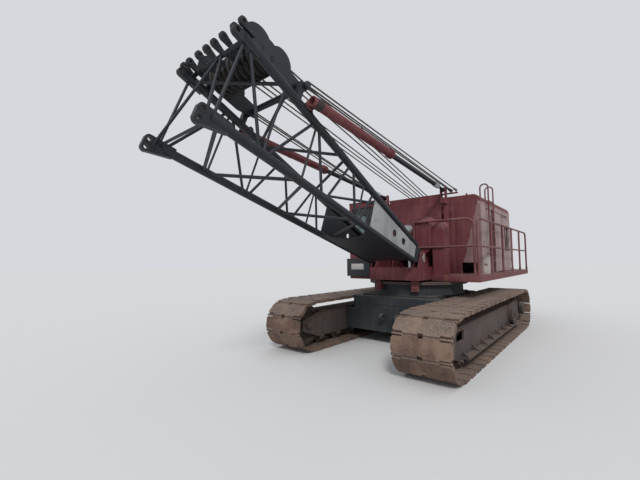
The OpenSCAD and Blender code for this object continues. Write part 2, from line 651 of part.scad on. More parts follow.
// Work lamp on its post in front of the drum
post_x = deck_front + 20;
module lamp_post() color(grey_color) place() {
    box([post_x - 20, 60, bed_low + 30], [post_x + 20, 100, deck_top + 885]);
    translate([post_x - 15, 80, deck_top + 925]) rotate([0, 90, 0]) cylinder(h = 100, r = 75);
}

// Ladder at the left side of the house, with grab loops above the roof
ladder_x = -1000;
ladder_half = 200;
ladder_y = house_half + 55;
loop_r = 80;
ladder_top = roof_top + 260;
// Where the loops' inner legs stand on the roof's rounded edge
leg_in_y = ladder_y - 2 * loop_r;
leg_over = max(0, leg_in_y - 15 - house_half + roof_radius);
leg_low = roof_low + sqrt(roof_radius * roof_radius - leg_over * leg_over) + seat_gap;
module ladder() color(house_color) place() {
    for (x = [ladder_x - ladder_half, ladder_x + ladder_half])
        bar([x, ladder_y, deck_top], [x, ladder_y, ladder_top - loop_r], 15);
    for (i = [0 : 4]) bar([ladder_x - ladder_half, ladder_y, deck_top + 260 + i * 320],
                          [ladder_x + ladder_half, ladder_y, deck_top + 260 + i * 320], 12);
    for (x = [ladder_x - ladder_half, ladder_x + ladder_half], z = [deck_top + 420, roof_low - 120])
        bar([x, house_half, z], [x, ladder_y, z], 10);
    for (x = [ladder_x - ladder_half, ladder_x + ladder_half]) {
        translate([x, ladder_y - loop_r, ladder_top - loop_r]) rotate([90, 0, 90])
            rotate_extrude(angle = 180) translate([loop_r, 0]) circle(r = 15);
        bar([x, leg_in_y, leg_low], [x, leg_in_y, ladder_top - loop_r], 15);
    }
}
module side_locker() color(grey_color) place()
    box([-720, house_half, deck_top], [-480, deck_half - 60, deck_top + 330]);

// Boom frame: s along the butt from the foot pin, u square to it, upwards
module at_boom() translate([foot_x, 0, foot_z]) rotate([0, -boom_angle, 0]) children();
// A point of a chord's centre line, side and level being 1 or -1
function chord(side, level, s) = [s,
    side * (foot_half_width + (tip_half_width - foot_half_width) * s / butt_length),
    level * (foot_half_depth + (tip_half_depth - foot_half_depth) * s / butt_length)];
chord_start = 260;
lug_len = 110;
// Half the distance between two lacing tubes that end at one node of a chord, and the one at the tip
node_gap = 42;
end_gap = 60;
// Nodes of the side lacing, back from the tip, and those that have an upright too
side_node = [for (x = [0, 600, 1190, 1620, 2020, 2380, 2700]) x * butt_length / 4590];
uprights = [1, 2, 5];
upright_r = lace_r - 4;
end_r = lace_r - 2;
// Top and belly lacing
face_r = lace_r + 3;
face_step = butt_length / 7.65;
face_panels = 5;
lug_t = 60;
lug_r = 50;
lug_bore = 26;
lug_s = butt_length + lug_len;
lug_bore_step = 100;
lug_high = tip_half_depth - 15;
// Boom stop hinge on the chord
stop_s = butt_length - 950;
stop_u = chord_u(stop_s) + chord_r + 1.5;
stop_pin_r = 25;
tube_r = 60;
foot_plate_end = butt_length - side_node[6] - 40;
function chord_u(s) = foot_half_depth + (tip_half_depth - foot_half_depth) * s / butt_length;
function chord_y(s) = foot_half_width + (tip_half_width - foot_half_width) * s / butt_length;
module boom_side(first) color(boom_color) difference() {
    union() {
        for (level = [-1, 1])
            bar(chord(1, level, chord_start), chord(1, level, butt_length + 20), chord_r, 40);
        for (i = [0 : len(side_node) - 2])
            bar(chord(1, i % 2 == 0 ? first : -first, butt_length - side_node[i] - (i == 0 ? end_gap : node_gap)),
                chord(1, i % 2 == 0 ? -first : first, butt_length - side_node[i + 1] + node_gap), lace_r);
        for (i = uprights) bar(chord(1, -1, butt_length - side_node[i]), chord(1, 1, butt_length - side_node[i]),
                               upright_r);
        bar(chord(1, -1, butt_length), chord(1, 1, butt_length), end_r);
        // Foot plate between the chords
        plate(foot_half_width - foot_plate / 2, foot_half_width + foot_plate / 2) {
            circle(r = foot_pin_r + 80);
            polygon([[0, -foot_pin_r - 80], [chord_start + 240, -chord_u(chord_start + 240)],
                     [chord_start + 240, chord_u(chord_start + 240)], [0, foot_pin_r + 80]]);
        }
        web_y = chord_y((chord_start + foot_plate_end) / 2);
        plate(web_y - 8, web_y + 8) difference() {
            polygon([[chord_start + 200, -chord_u(chord_start)], [foot_plate_end, -chord_u(foot_plate_end)],
                     [foot_plate_end, chord_u(foot_plate_end)], [chord_start + 200, chord_u(chord_start)]]);
            for (s = [780, 1120]) translate([s, 0]) circle(r = 50);
        }
        // Tip lugs that take the next boom section's pins
        for (level = [-1, 1]) plate(tip_half_width - lug_t / 2, tip_half_width + lug_t / 2)
            lug_outline(level);
        // Bracket and pin of the boom stop
        plate(chord_y(stop_s), stop_bracket) {
            translate([stop_s, stop_u]) circle(r = 48);
            polygon([[stop_s - 90, chord_u(stop_s)], [stop_s + 90, chord_u(stop_s)],
                     [stop_s + 46, stop_u + 10], [stop_s - 46, stop_u + 10]]);
        }
        translate([stop_s, stop_bracket - 5, stop_u]) rotate([-90, 0, 0])
            cylinder(h = stop_y - tube_r - 4 - stop_bracket + 5, r = stop_pin_r);
    }
    translate([0, foot_half_width + 60, 0]) rotate([90, 0, 0]) cylinder(h = 120, r = foot_pin_r + pin_gap);
    for (u = [lug_high, -lug_high, -lug_high - lug_bore_step]) translate([lug_s, 0, u]) lug_hole();
}
module lug_hole() translate([0, tip_half_width + lug_t, 0]) rotate([90, 0, 0])
    cylinder(h = 2 * lug_t, r = lug_bore);
module lug_outline(level) {
    low = level < 0 ? -lug_high - lug_bore_step : lug_high;
    high = level * lug_high;
    for (u = [low, high]) translate([lug_s, u]) circle(r = lug_r);
    if (high > low) translate([lug_s - lug_r, low]) square([2 * lug_r, high - low]);
    inner = level < 0 ? high + lug_r : low - lug_r;
    outer = level < 0 ? low - lug_r : high + lug_r;
    polygon([[butt_length - 180, level * (tip_half_depth - 80)], [lug_s, inner], [lug_s, outer],
             [butt_length - 180, level * (tip_half_depth + 40)]]);
}
module boom_side_left() place() at_boom() boom_side(1);
module boom_side_right() place() at_boom() mirror([0, 1, 0]) boom_side(-1);

// Lacing of the top or the belly, its ends saddle-cut to the chords
module face_lacing(level) color(boom_color) difference() {
    union() {
        for (i = [0 : face_panels - 1])
            bar(chord(i % 2 == 0 ? -level : level, level, butt_length - i * face_step - (i == 0 ? end_gap : node_gap)),
                chord(i % 2 == 0 ? level : -level, level, butt_length - (i + 1) * face_step + node_gap), face_r);
        if (level < 0) bar(chord(-1, level, butt_length), chord(1, level, butt_length), end_r);
    }
    for (side = [-1, 1]) bar(chord(side, level, 0), chord(side, level, butt_length + 200), chord_r + seat_gap);
}
module boom_top_lacing() place() at_boom() face_lacing(1);
module boom_belly_lacing() place() at_boom() face_lacing(-1);

// Plates between the two sides at the foot, with a hollowed front edge on the belly
belly_start = 420;
belly_end = butt_length - face_panels * face_step + 300;
belly_t = 10;
// How far the plate lies below the chords' centres, clear of the lacing
belly_drop = face_r + 9;
function belly_half(x) = chord_y(x) - sqrt(chord_r * chord_r - belly_drop * belly_drop) - seat_gap;
module boom_belly_plate() color(boom_color) place() at_boom() {
    slope = atan2(chord_u(belly_end) - chord_u(belly_start), belly_end - belly_start);
    long = belly_end - belly_start;
    half = belly_half(belly_end);
    translate([belly_start, 0, -chord_u(belly_start) - belly_drop - belly_t]) rotate([0, slope, 0])
        linear_extrude(belly_t) difference() {
            polygon([[0, -belly_half(belly_start)], [long, -half], [long, half], [0, belly_half(belly_start)]]);
            translate([long + 270, 0]) circle(r = half + 60);
        }
}

module boom_foot_pins() color(grey_color) place() translate([foot_x, 0, foot_z]) both_sides()
    translate([0, foot_half_width - foot_plate / 2 - 40, 0]) rotate([-90, 0, 0])
        cylinder(h = foot_plate + 80, r = foot_pin_r);

// Bridle: a frame lying on the tip, with the boom hoist sheaves and a row of pendant eyes
// Places on it are measured from the butt's tip and from the chords' centres there
bsheave_s = butt_length - 320;
bsheave_u = tip_half_depth + 200;
bsheave_r = 195;
bsheave_shaft = 38;
bplate_y = 420;
bplate_t = 22;
tip_beam_r = 26;
edge_beam_r = 40;
eye_row_s = butt_length + 100;
eye_row_u = tip_half_depth + 100;
eye_row_r = 48;
eye_row_bore = 18;
eye_row_t = 34;
eye_row_y = [75, 235, 430, 560];
tip_beam = [butt_length - 30, tip_half_depth + 80];
tip_beam_half = 585;
edge_beam = [butt_length - 830, tip_half_depth + 170];
edge_beam_half = 590;
divider_y = [90, 180, 270];
brace_r = 16;
module bridle_outline() translate([butt_length, tip_half_depth]) {
    translate([-160, 210]) circle(r = 185);
    translate([-480, 250]) circle(r = 165);
    polygon([[-900, 110], [-890, 260], [-630, 270], [-480, 415], [-410, 400], [-345, 340], [-310, 345],
             [-160, 395], [10, 150], [50, 50], [-290, 30], [-630, 30]]);
}
module boom_bridle() color(boom_color) place() at_boom() {
    both_sides() {
        plate(bplate_y, bplate_y + bplate_t) difference() {
            bridle_outline();
            translate([bsheave_s, bsheave_u]) circle(r = bsheave_shaft + pin_gap);
        }
        // Feet, cut to the chords that they sit on
        for (foot = [[bsheave_s + 30, bsheave_s + 130, tip_half_depth + 70],
                     [edge_beam[0] + 5, edge_beam[0] + 75, edge_beam[1] - 20]]) difference() {
            mid = (foot[0] + foot[1]) / 2;
            union() {
                box([foot[0], chord_y(mid) - 38, chord_u(mid) - 15], [foot[1], chord_y(mid) + 38, foot[2] + 45]);
                box([foot[0], bplate_y + 1, foot[2]], [foot[1], chord_y(mid) - 20, foot[2] + 45]);
            }
            bar(chord(1, 1, 0), chord(1, 1, butt_length + 200), chord_r + seat_gap);
        }
        for (y = eye_row_y) plate(y - eye_row_t / 2, y + eye_row_t / 2) eye_plate();
        for (y = divider_y) plate(y - 8, y + 8) divider_plate();
        // Brace from the middle of the tip's beam to the lower lug, which it meets with its end
        difference() {
            from = [tip_beam[0], 30, tip_beam[1]];
            to = [lug_s - 60, tip_half_width - lug_t / 2, -lug_high];
            bar(from, from + 1.05 * (to - from), brace_r);
            box([0, tip_half_width - lug_t / 2 - seat_gap, -2000], [9000, 2000, 2000]);
        }
    }
    bar([tip_beam[0], -tip_beam_half, tip_beam[1]], [tip_beam[0], tip_beam_half, tip_beam[1]], tip_beam_r);
    bar([edge_beam[0], -edge_beam_half, edge_beam[1]], [edge_beam[0], edge_beam_half, edge_beam[1]], edge_beam_r);
}
// Plate between two sheaves, from their shaft to the tip's beam
module divider_plate() difference() {
    union() {
        translate([bsheave_s, bsheave_u]) circle(r = 75);
        polygon([[bsheave_s - 27, bsheave_u - 64], tip_beam - [8, 20], tip_beam + [8, 20],
                 [bsheave_s + 27, bsheave_u + 64]]);
    }
    translate([bsheave_s, bsheave_u]) circle(r = bsheave_shaft + pin_gap);
}
module eye_plate() difference() {
    union() {
        translate([eye_row_s, eye_row_u]) circle(r = eye_row_r);
        polygon([tip_beam - [0, 20], [eye_row_s, eye_row_u - eye_row_r],
                 [eye_row_s, eye_row_u + eye_row_r], tip_beam + [0, 20]]);
    }
    translate([eye_row_s, eye_row_u]) circle(r = eye_row_bore);
}
bsheave_y = [45, 135, 225, 315, 390];
module bridle_sheaves() color(rope_color) place() at_boom() translate([bsheave_s, 0, bsheave_u]) both_sides()
{
        for (y = bsheave_y) translate([0, y, 0]) sheave(bsheave_r, 44, bsheave_shaft - 1);
        rotate([-90, 0, 0]) cylinder(h = bplate_y + bplate_t + 12, r = bsheave_shaft);
    }

// Boom stops: a tube hinged on the chord, and a rod that slides in it, its eye in the gantry's fork
tube_length = 1780;
tube_bore = 46;
rod_r = 42;
// The rod's thinner end, which lies in the fork
rod_end_r = 28;
rod_end = 300;
rod_length = 2900;
stop_bracket = stop_y - tube_r - 31;
// Machine frame places of the two hinges, and the stop's direction and length as it stands
function at_angle(s, u) = [foot_x + s * cos(boom_angle) - u * sin(boom_angle),
                           foot_z + s * sin(boom_angle) + u * cos(boom_angle)];
stop_top = at_angle(stop_s, stop_u);
stop_run = norm(stop_top - [stop_pin_x, stop_pin_z]);
stop_tilt = atan2(stop_top[1] - stop_pin_z, stop_top[0] - stop_pin_x);
// Frame of a stop: X from the gantry's pin to the boom's pin, origin at the gantry's pin
module at_stop() translate([stop_pin_x, stop_y, stop_pin_z]) rotate([0, -stop_tilt, 0]) children();
module stop_tubes() color(house_color) place() both_sides() at_stop() difference() {
    union() {
        bar([stop_run - tube_length, 0, 0], [stop_run + 60, 0, 0], tube_r);
        bar([stop_run - tube_length, 0, 0], [stop_run - tube_length + 70, 0, 0], tube_r + 14);
        translate([stop_run, 0, 0]) plate(-tube_r - 26, -tube_r - 6) circle(r = 62);
        for (x = [stop_run - 60, stop_run + 35]) box([x, -tube_r - 8, -22], [x + 25, -tube_bore, 22]);
    }
    bar([stop_run - tube_length - 1, 0, 0], [stop_run + 61, 0, 0], tube_bore);
    translate([stop_run, 0, 0]) plate(-tube_r - 27, -tube_r - 5) circle(r = stop_pin_r + pin_gap);
}
module stop_rods() color(boom_color) place() both_sides() at_stop() difference() {
    union() {
        bar([0, 0, 0], [rod_end + 10, 0, 0], rod_end_r);
        bar([rod_end, 0, 0], [rod_length, 0, 0], rod_r);
        plate(-eye_half, eye_half) circle(r = eye_r);
        bar([rod_length - 80, 0, 0], [rod_length, 0, 0], tube_bore - seat_gap);
    }
    plate(-60, 60) circle(r = 22);
}

// Boom hoist ropes between the two sets of sheaves, and the outer lines to the bridle's frame
rope_r = 11;
rope_shift = 25;
module hoist_ropes() color(rope_color) place() both_sides() {
    low = gsheave_z + gsheave_r + rope_r - 10;
    top = at_angle(bsheave_s - 60, bsheave_u + bsheave_r - 20);
    for (i = [0 : 2]) bar([gsheave_x, gsheave_y[i], low], [top[0], bsheave_y[i + 1], top[1]], rope_r);
    // The outer lines start at their eyes' edge and end on top of the bridle's rear beam
    eye = [gantry_back + 22, head_high + 65];
    beam = at_angle(edge_beam[0], edge_beam[1]);
    way = (beam - eye) / norm(beam - eye);
    edge = beam + [-way[1], way[0]] * (edge_beam_r + rope_r + seat_gap);
    for (i = [0 : 2]) {
        from = [eye[0], anchor_y[i], eye[1]];
        to = [edge[0], [480, 520, 575][i], edge[1]];
        bar(from + (to - from) / norm(to - from) * 21, to, rope_r);
    }
}

ballast_back = 50;
tip_reach = foot_x + lug_s * cos(boom_angle) + (lug_high + lug_bore_step) * sin(boom_angle) + lug_r;
origin_x = (tip_reach - deck_rear - ballast_back) / 2;

carbody();
roller_path();
crawler_frame_left();
crawler_frame_right();
track_left();
track_right();
idlers();
drive_tumblers();
track_rollers();
rotating_bed();
swing_rollers();
hook_rollers();
deck_left();
deck_right();
handrail_left();
handrail_right();
house_front_wall();
house_left_wall();
house_right_wall();
house_rear_wall();
house_roof();
house_door();
cab_shell();
cab_door();
cab_glass();
operator_seat();
control_levers();
plate_box();
engine();
counterweight();
drum_frames();
hoist_drum();
drum_guards();
gantry();
gantry_sheaves();
lamp_post();
ladder();
side_locker();
boom_side_left();
boom_side_right();
boom_top_lacing();
boom_belly_lacing();
boom_belly_plate();
boom_foot_pins();
boom_bridle();
bridle_sheaves();
stop_tubes();
stop_rods();
hoist_ropes();
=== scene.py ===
import functools
import itertools
import math

import bmesh
import bpy
from mathutils import Matrix, Vector


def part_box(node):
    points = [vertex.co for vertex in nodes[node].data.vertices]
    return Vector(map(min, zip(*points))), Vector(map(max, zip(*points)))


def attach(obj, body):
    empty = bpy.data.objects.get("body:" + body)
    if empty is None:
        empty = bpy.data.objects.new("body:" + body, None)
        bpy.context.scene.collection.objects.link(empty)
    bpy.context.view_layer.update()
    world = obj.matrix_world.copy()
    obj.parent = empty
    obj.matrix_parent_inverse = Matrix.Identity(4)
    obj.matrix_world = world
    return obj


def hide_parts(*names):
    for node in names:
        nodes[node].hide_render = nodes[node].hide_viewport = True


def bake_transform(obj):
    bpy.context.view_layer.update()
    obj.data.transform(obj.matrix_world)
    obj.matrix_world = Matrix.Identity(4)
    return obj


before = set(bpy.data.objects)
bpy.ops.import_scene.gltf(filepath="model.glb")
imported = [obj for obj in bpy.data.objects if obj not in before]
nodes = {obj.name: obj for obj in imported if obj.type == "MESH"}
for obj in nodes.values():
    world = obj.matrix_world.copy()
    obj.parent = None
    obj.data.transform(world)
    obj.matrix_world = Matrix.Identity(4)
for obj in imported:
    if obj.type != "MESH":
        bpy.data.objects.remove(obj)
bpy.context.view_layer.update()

# Camera, floor and light. The camera stands at eye height ahead of the machine's left corner,
# as the photographer did, with the wide lens that the photograph was taken with.
swing = -0.494928  # X of the swing's centre line
eye = Vector((6.853 + swing, 3.068, 1.592))
yaw, tilt, roll = (math.radians(angle) for angle in (40.316, 3.670, -0.494))
focal_pixels, picture_pixels = 331.454, 640
ahead = Vector((-math.cos(yaw) * math.cos(tilt), -math.sin(yaw) * math.cos(tilt), math.sin(tilt)))
flat = Vector((-math.sin(yaw), math.cos(yaw), 0))
right = flat * math.cos(roll) + flat.cross(ahead) * math.sin(roll)
optics = bpy.data.cameras.new("camera")
optics.sensor_width = 36
optics.lens = focal_pixels / picture_pixels * optics.sensor_width
optics.clip_end = 300
camera = bpy.data.objects.new("camera", optics)
camera.matrix_world = Matrix.Translation(eye) @ Matrix((right, right.cross(ahead), -ahead)).transposed().to_4x4()
bpy.context.collection.objects.link(camera)
scene = bpy.context.scene
scene.camera = camera
scene.view_settings.view_transform = "Standard"

sun = bpy.data.lights.new("key", "SUN")
sun.energy, sun.angle = 1.6, math.radians(12)
key = bpy.data.objects.new("key", sun)
key.rotation_euler = (math.radians(48), 0, math.radians(128))
bpy.context.collection.objects.link(key)
world = scene.world or bpy.data.worlds.new("world")
scene.world = world
world.use_nodes = True
sky = world.node_tree.nodes["Background"]
sky.inputs["Color"].default_value = (0.93, 0.95, 1, 1)
sky.inputs["Strength"].default_value = 0.72


def plain(name):
    """A new material, with its node tree and its shader."""
    material = bpy.data.materials.new(name)
    material.use_nodes = True
    return material, material.node_tree, material.node_tree.nodes["Principled BSDF"]


ground = bmesh.new()
bmesh.ops.create_circle(ground, cap_ends=True, radius=90, segments=64)
mesh = bpy.data.meshes.new("floor")
ground.to_mesh(mesh)
ground.free()
floor = bpy.data.objects.new("floor", mesh)
floor.location.z = -0.002
bpy.context.collection.objects.link(floor)
paper, _, shader = plain("pale floor")
shader.inputs["Base Color"].default_value = (0.66, 0.66, 0.65, 1)
shader.inputs["Roughness"].default_value = 0.9
mesh.materials.append(paper)


# Maroon machine paint. Years in the sun have chalked it, rain has run dust down it, and edges
# and scratches have gone to primer and rust.
def feed(tree, plug, value):
    """Gives an input a value, or a link from another node's output."""
    if isinstance(value, bpy.types.NodeSocket):
        tree.links.new(value, plug)
    else:
        plug.default_value = value


def put(tree, kind, **settings):
    """A node of that kind. An input goes by its name with underscores, or by its number, as in _0."""
    node = tree.nodes.new("ShaderNode" + kind)
    for name, value in settings.items():
        if hasattr(node, name):
            setattr(node, name, value)
            continue
        label = name.replace("_", " ").lower()
        feed(tree, node.inputs[int(name[1:])] if name[1:].isdigit() else next(
            plug for plug in node.inputs if plug.name.lower() == label and plug.enabled), value)
    return node


def math_node(tree, operation, *values):
    node = tree.nodes.new("ShaderNodeMath")
    node.operation = operation
    for plug, value in zip(node.inputs, values):
        feed(tree, plug, value)
    return node.outputs[0]


def between(tree, value, low, high):
    """0 at low, 1 at high, and a soft step between them."""
    step = put(tree, "MapRange", interpolation_type="SMOOTHSTEP", Value=value, From_Min=low, From_Max=high)
    return step.outputs["Result"]


def blend_colors(tree, amount, first, second):
    node = tree.nodes.new("ShaderNodeMix")
    node.data_type = "RGBA"
    for index, value in ((0, amount), (6, first), (7, second)):
        feed(tree, node.inputs[index], value)
    return node.outputs[2]


def tools_for(tree):
    """The helpers for one tree: a node, math, a product, a sum, a soft step and a blend of colours."""
    return [functools.partial(*each) for each in (
        (put, tree), (math_node, tree), (math_node, tree, "MULTIPLY"), (math_node, tree, "ADD"), (between, tree),
        (blend_colors, tree))]


def group(name, inputs, outputs):
    """An empty node group with named sockets, and the sockets of its input and output nodes."""
    tree = bpy.data.node_groups.new(name, "ShaderNodeTree")
    for label, value in inputs:
        kind = "NodeSocketColor" if isinstance(value, tuple) else "NodeSocketFloat"
        tree.interface.new_socket(label, in_out="INPUT", socket_type=kind).default_value = value
    for label, kind in outputs:
        tree.interface.new_socket(label, in_out="OUTPUT", socket_type="NodeSocket" + kind)
    return tree, tree.nodes.new("NodeGroupInput").outputs, tree.nodes.new("NodeGroupOutput").inputs


surface = [("Color", "Color"), ("Roughness", "Float"), ("Height", "Float"), ("Metal", "Float")]
weathering, given, result = group(
    "weathered paint",
    [("Paint", (0.13, 0.03, 0.035, 1)), ("Chalk", (0.24, 0.13, 0.13, 1)), ("Rust", (0.15, 0.06, 0.03, 1)),
     ("Dust", (0.33, 0.29, 0.25, 1)), ("Chalking", 0.5), ("Rusting", 0.3), ("Dusting", 0.4),
     ("Edge Width", 0.012), ("Edge Wear", 0.5), ("Gloss", 0.5), ("Running", 0.4)], surface)
node, calc, times, plus, ramp, mix = tools_for(weathering)
place = node("TexCoord").outputs["Object"]
broad = node("TexNoise", Vector=place, Scale=0.9, Detail=5, Roughness=0.6).outputs[0]
mottle = node("TexNoise", Vector=place, Scale=7, Detail=7, Roughness=0.65).outputs[0]
fine = node("TexNoise", Vector=place, Scale=60, Detail=4, Roughness=0.7).outputs[0]
tall = node("Mapping", Vector=place, Scale=(9, 9, 0.55)).outputs[0]
runs = node("TexNoise", Vector=tall, Scale=1.6, Detail=5, Roughness=0.7).outputs[0]
facing = node("NewGeometry").outputs["Normal"]
rounded = node("Bevel", samples=4, Radius=given["Edge Width"]).outputs[0]
across = node("VectorMath", operation="DOT_PRODUCT", _0=facing, _1=rounded).outputs["Value"]
edge = times(calc("SUBTRACT", 1, across), plus(0.35, mottle))
worn = ramp(times(edge, given["Edge Wear"]), 0.02, 0.09)
chalky = plus(plus(broad, times(runs, 0.6)), calc("SUBTRACT", given["Chalking"], 1.15))
chalky = ramp(chalky, -0.12, 0.3)
spots = plus(plus(mottle, times(fine, 0.25)), times(given["Rusting"], 0.3))
rusty = calc("MAXIMUM", ramp(spots, 0.82, 0.9), times(worn, ramp(fine, 0.4, 0.6)))
level = node("SeparateXYZ", Vector=facing).outputs["Z"]
runny = times(ramp(runs, 0.52, 0.75), given["Running"])
settled = times(calc("MAXIMUM", ramp(level, 0.2, 0.95), runny), given["Dusting"])
settled = times(settled, ramp(mottle, 0.2, 0.6))
shade = mix(chalky, given["Paint"], given["Chalk"])
shade = mix(times(worn, 0.75), shade, given["Chalk"])
shade = mix(rusty, shade, given["Rust"])
weathering.links.new(mix(settled, shade, given["Dust"]), result["Color"])
rough = calc("SUBTRACT", 0.85, times(given["Gloss"], 0.5))
rough = plus(rough, times(calc("MAXIMUM", chalky, settled), 0.25))
weathering.links.new(calc("MINIMUM", rough, 0.95), result["Roughness"])
weathering.links.new(plus(times(rusty, -0.5), times(fine, 0.35)), result["Height"])
weathering.links.new(times(worn, 0.3), result["Metal"])


def finish_with(name, recipe, bump=0.0012, **values):
    """A material of its own that takes its colour, roughness, metal and height from a group."""
    material, tree, shader = plain(name)
    source = tree.nodes.new("ShaderNodeGroup")
    source.node_tree = recipe
    for label, value in values.items():
        source.inputs[label.replace("_", " ")].default_value = value
    for output, plug in (("Color", "Base Color"), ("Roughness", "Roughness"), ("Metal", "Metallic")):
        tree.links.new(source.outputs[output], shader.inputs[plug])
    relief = put(tree, "Bump", Strength=0.6, Distance=bump, Height=source.outputs["Height"])
    tree.links.new(relief.outputs[0], shader.inputs["Normal"])
    shader.inputs["Specular IOR Level"].default_value = 0.4
    return material


def coat(material, *names):
    """Paints CAD nodes."""
    for name in names:
        nodes[name].data.materials.clear()
        nodes[name].data.materials.append(material)


maroon = finish_with(
    "maroon paint", weathering, Paint=(0.11, 0.018, 0.025, 1), Chalk=(0.18, 0.058, 0.062, 1),
    Rust=(0.08, 0.03, 0.022, 1), Dust=(0.25, 0.15, 0.135, 1), Chalking=0.42, Rusting=0.3, Dusting=0.28)

# Track shoes: cast steel, brown with rust that the ground has rubbed smooth. Each is pinned to the
# next, and a head on each end of a pin holds it at the edges of the track.
rusting, given, result = group(
    "rusted casting",
    [("Steel", (0.2, 0.17, 0.15, 1)), ("Rust", (0.22, 0.12, 0.075, 1)), ("Dark", (0.05, 0.035, 0.03, 1)),
     ("Dust", (0.36, 0.31, 0.26, 1)), ("Polish", 0.4), ("Dusting", 0.4), ("Edge Width", 0.015)], surface)
node, calc, times, plus, ramp, mix = tools_for(rusting)
place = node("TexCoord").outputs["Object"]
broad = node("TexNoise", Vector=place, Scale=2.2, Detail=6, Roughness=0.65).outputs[0]
pitted = node("TexNoise", Vector=place, Scale=38, Detail=7, Roughness=0.7).outputs[0]
drawn = node("Mapping", Vector=place, Scale=(5, 60, 60)).outputs[0]
scratches = node("TexNoise", Vector=drawn, Scale=1.5, Detail=5, Roughness=0.75).outputs[0]
facing = node("NewGeometry").outputs["Normal"]
rounded = node("Bevel", samples=4, Radius=given["Edge Width"]).outputs[0]
across = node("VectorMath", operation="DOT_PRODUCT", _0=facing, _1=rounded).outputs["Value"]
edge = ramp(calc("SUBTRACT", 1, across), 0.005, 0.12)
rub = plus(plus(times(edge, 0.5), times(scratches, given["Polish"])), times(broad, 0.35))
rub = ramp(rub, 0.38, 0.75)
shade = mix(ramp(broad, 0.36, 0.62), given["Dark"], given["Rust"])
shade = mix(times(ramp(pitted, 0.35, 0.6), 0.6), shade, given["Rust"])
shade = mix(times(rub, 0.7), shade, given["Steel"])
level = node("SeparateXYZ", Vector=facing).outputs["Z"]
settled = calc("MAXIMUM", ramp(level, 0.1, 0.9), times(ramp(broad, 0.45, 0.7), 0.6))
settled = times(times(settled, given["Dusting"]), ramp(pitted, 0.25, 0.6))
rusting.links.new(mix(settled, shade, given["Dust"]), result["Color"])
rusting.links.new(calc("SUBTRACT", 0.82, times(rub, 0.3)), result["Roughness"])
rusting.links.new(plus(times(pitted, 0.7), times(broad, 1.2)), result["Height"])
rusting.links.new(times(rub, 0.45), result["Metal"])
shoe_steel = finish_with("rusty shoe steel", rusting, bump=0.004, Steel=(0.17, 0.145, 0.13, 1),
                         Rust=(0.185, 0.108, 0.075, 1), Dust=(0.33, 0.28, 0.235, 1))
coat(shoe_steel, "track_left", "track_right")


def piece(name, bm, material, body, smooth=35):
    """Turns a bmesh into an object that rides on a body. Edges sharper than smooth degrees stay sharp."""
    bmesh.ops.remove_doubles(bm, verts=bm.verts, dist=1e-5)
    bmesh.ops.recalc_face_normals(bm, faces=bm.faces)
    made = bpy.data.meshes.new(name)
    bm.to_mesh(made)
    bm.free()
    made.shade_smooth()
    made.set_sharp_from_angle(angle=math.radians(smooth))
    made.materials.append(material)
    obj = bpy.data.objects.new(name, made)
    bpy.context.collection.objects.link(obj)
    if body:
        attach(obj, body)
    return obj


def turned(at, towards):
    """The matrix that takes a shape built along Z to that place, with its Z towards a direction."""
    return Matrix.Translation(at) @ Vector(towards).to_track_quat("Z", "Y").to_matrix().to_4x4()


def head(bm, at, towards, radius, height, sides=6):
    """A bolt's or pin's head that stands on a surface."""
    bmesh.ops.create_cone(bm, cap_ends=True, segments=sides, radius1=radius, radius2=radius * 0.86, depth=height,
                          matrix=turned(Vector(at) + Vector(towards).normalized() * height * 0.45, towards))


def pipe(bm, start, end, radius, sides=12):
    start, end = Vector(start), Vector(end)
    bmesh.ops.create_cone(bm, cap_ends=True, segments=sides, radius1=radius, radius2=radius,
                          depth=(end - start).length, matrix=turned((start + end) / 2, end - start))


def spot(x, y, z):
    """A point of the machine, measured from the swing's centre line and the ground."""
    return Vector((x + swing, y, z))


gauge, shoe_width, shoes = 2.52, 0.81, 44
track_length, track_height, pin_depth = 5.67, 0.89, 0.035
axle_z, run, bend = track_height / 2, track_length - track_height, track_height / 2 - pin_depth
half_loop = run + math.pi * bend


def pin_place(k):
    """The pin between two shoes. They are counted backwards along the ground and forwards on top."""
    s = 2 * half_loop * (k % shoes) / shoes
    way = 1 if s < half_loop else -1
    s %= half_loop
    if s < run:
        return spot(way * (run / 2 - s), 0, axle_z - way * bend)
    angle = (s - run) / bend
    return spot(-way * (run / 2 + bend * math.sin(angle)), 0, axle_z - way * bend * math.cos(angle))


half_pin = Vector((0, 0.075, 0))
for label, middle in (("left", gauge / 2), ("right", -gauge / 2)):
    pins = bmesh.new()
    for k in range(shoes):
        here, following = pin_place(k), pin_place(k + 1)
        along = (following - here).normalized()
        out = Vector((-along.z, 0, along.x))
        for way in (-1, 1):
            # the pin where it shows in the gap between two shoes, and the head on its end
            shown = here + Vector((0, middle + way * 0.322, 0))
            pipe(pins, shown - half_pin, shown + half_pin, 0.017)
            edge = here + Vector((0, middle + way * (shoe_width / 2 - 0.013), 0))
            head(pins, edge, (0, way, 0), 0.022, 0.012, 10)
        # two bolts through the plain part of each shoe that doesn't stand on the ground
        centre = (here + following) / 2 + out * 0.0345
        for offset in (-0.187, 0.187) if out.z > -0.95 else ():
            head(pins, centre + Vector((0, middle + offset * shoe_width, 0)), out, 0.014, 0.007)
    piece(f"track_pins_{label}", pins, shoe_steel, "undercarriage")

# Crawler frames: welded box beams under gravel dust and grease. The rollers' bearing blocks are
# bolted below the side plates, and the track's adjusting screw shows through a slot.
frame_paint = finish_with(
    "dusty frame paint", weathering, Paint=(0.042, 0.033, 0.033, 1), Chalk=(0.095, 0.074, 0.066, 1),
    Dust=(0.2, 0.145, 0.118, 1), Rust=(0.1, 0.05, 0.036, 1), Chalking=0.45, Rusting=0.45, Dusting=0.68,
    Gloss=0.2, Running=0.12)
coat(frame_paint, "crawler_frame_left", "crawler_frame_right", "roller_path", "engine")


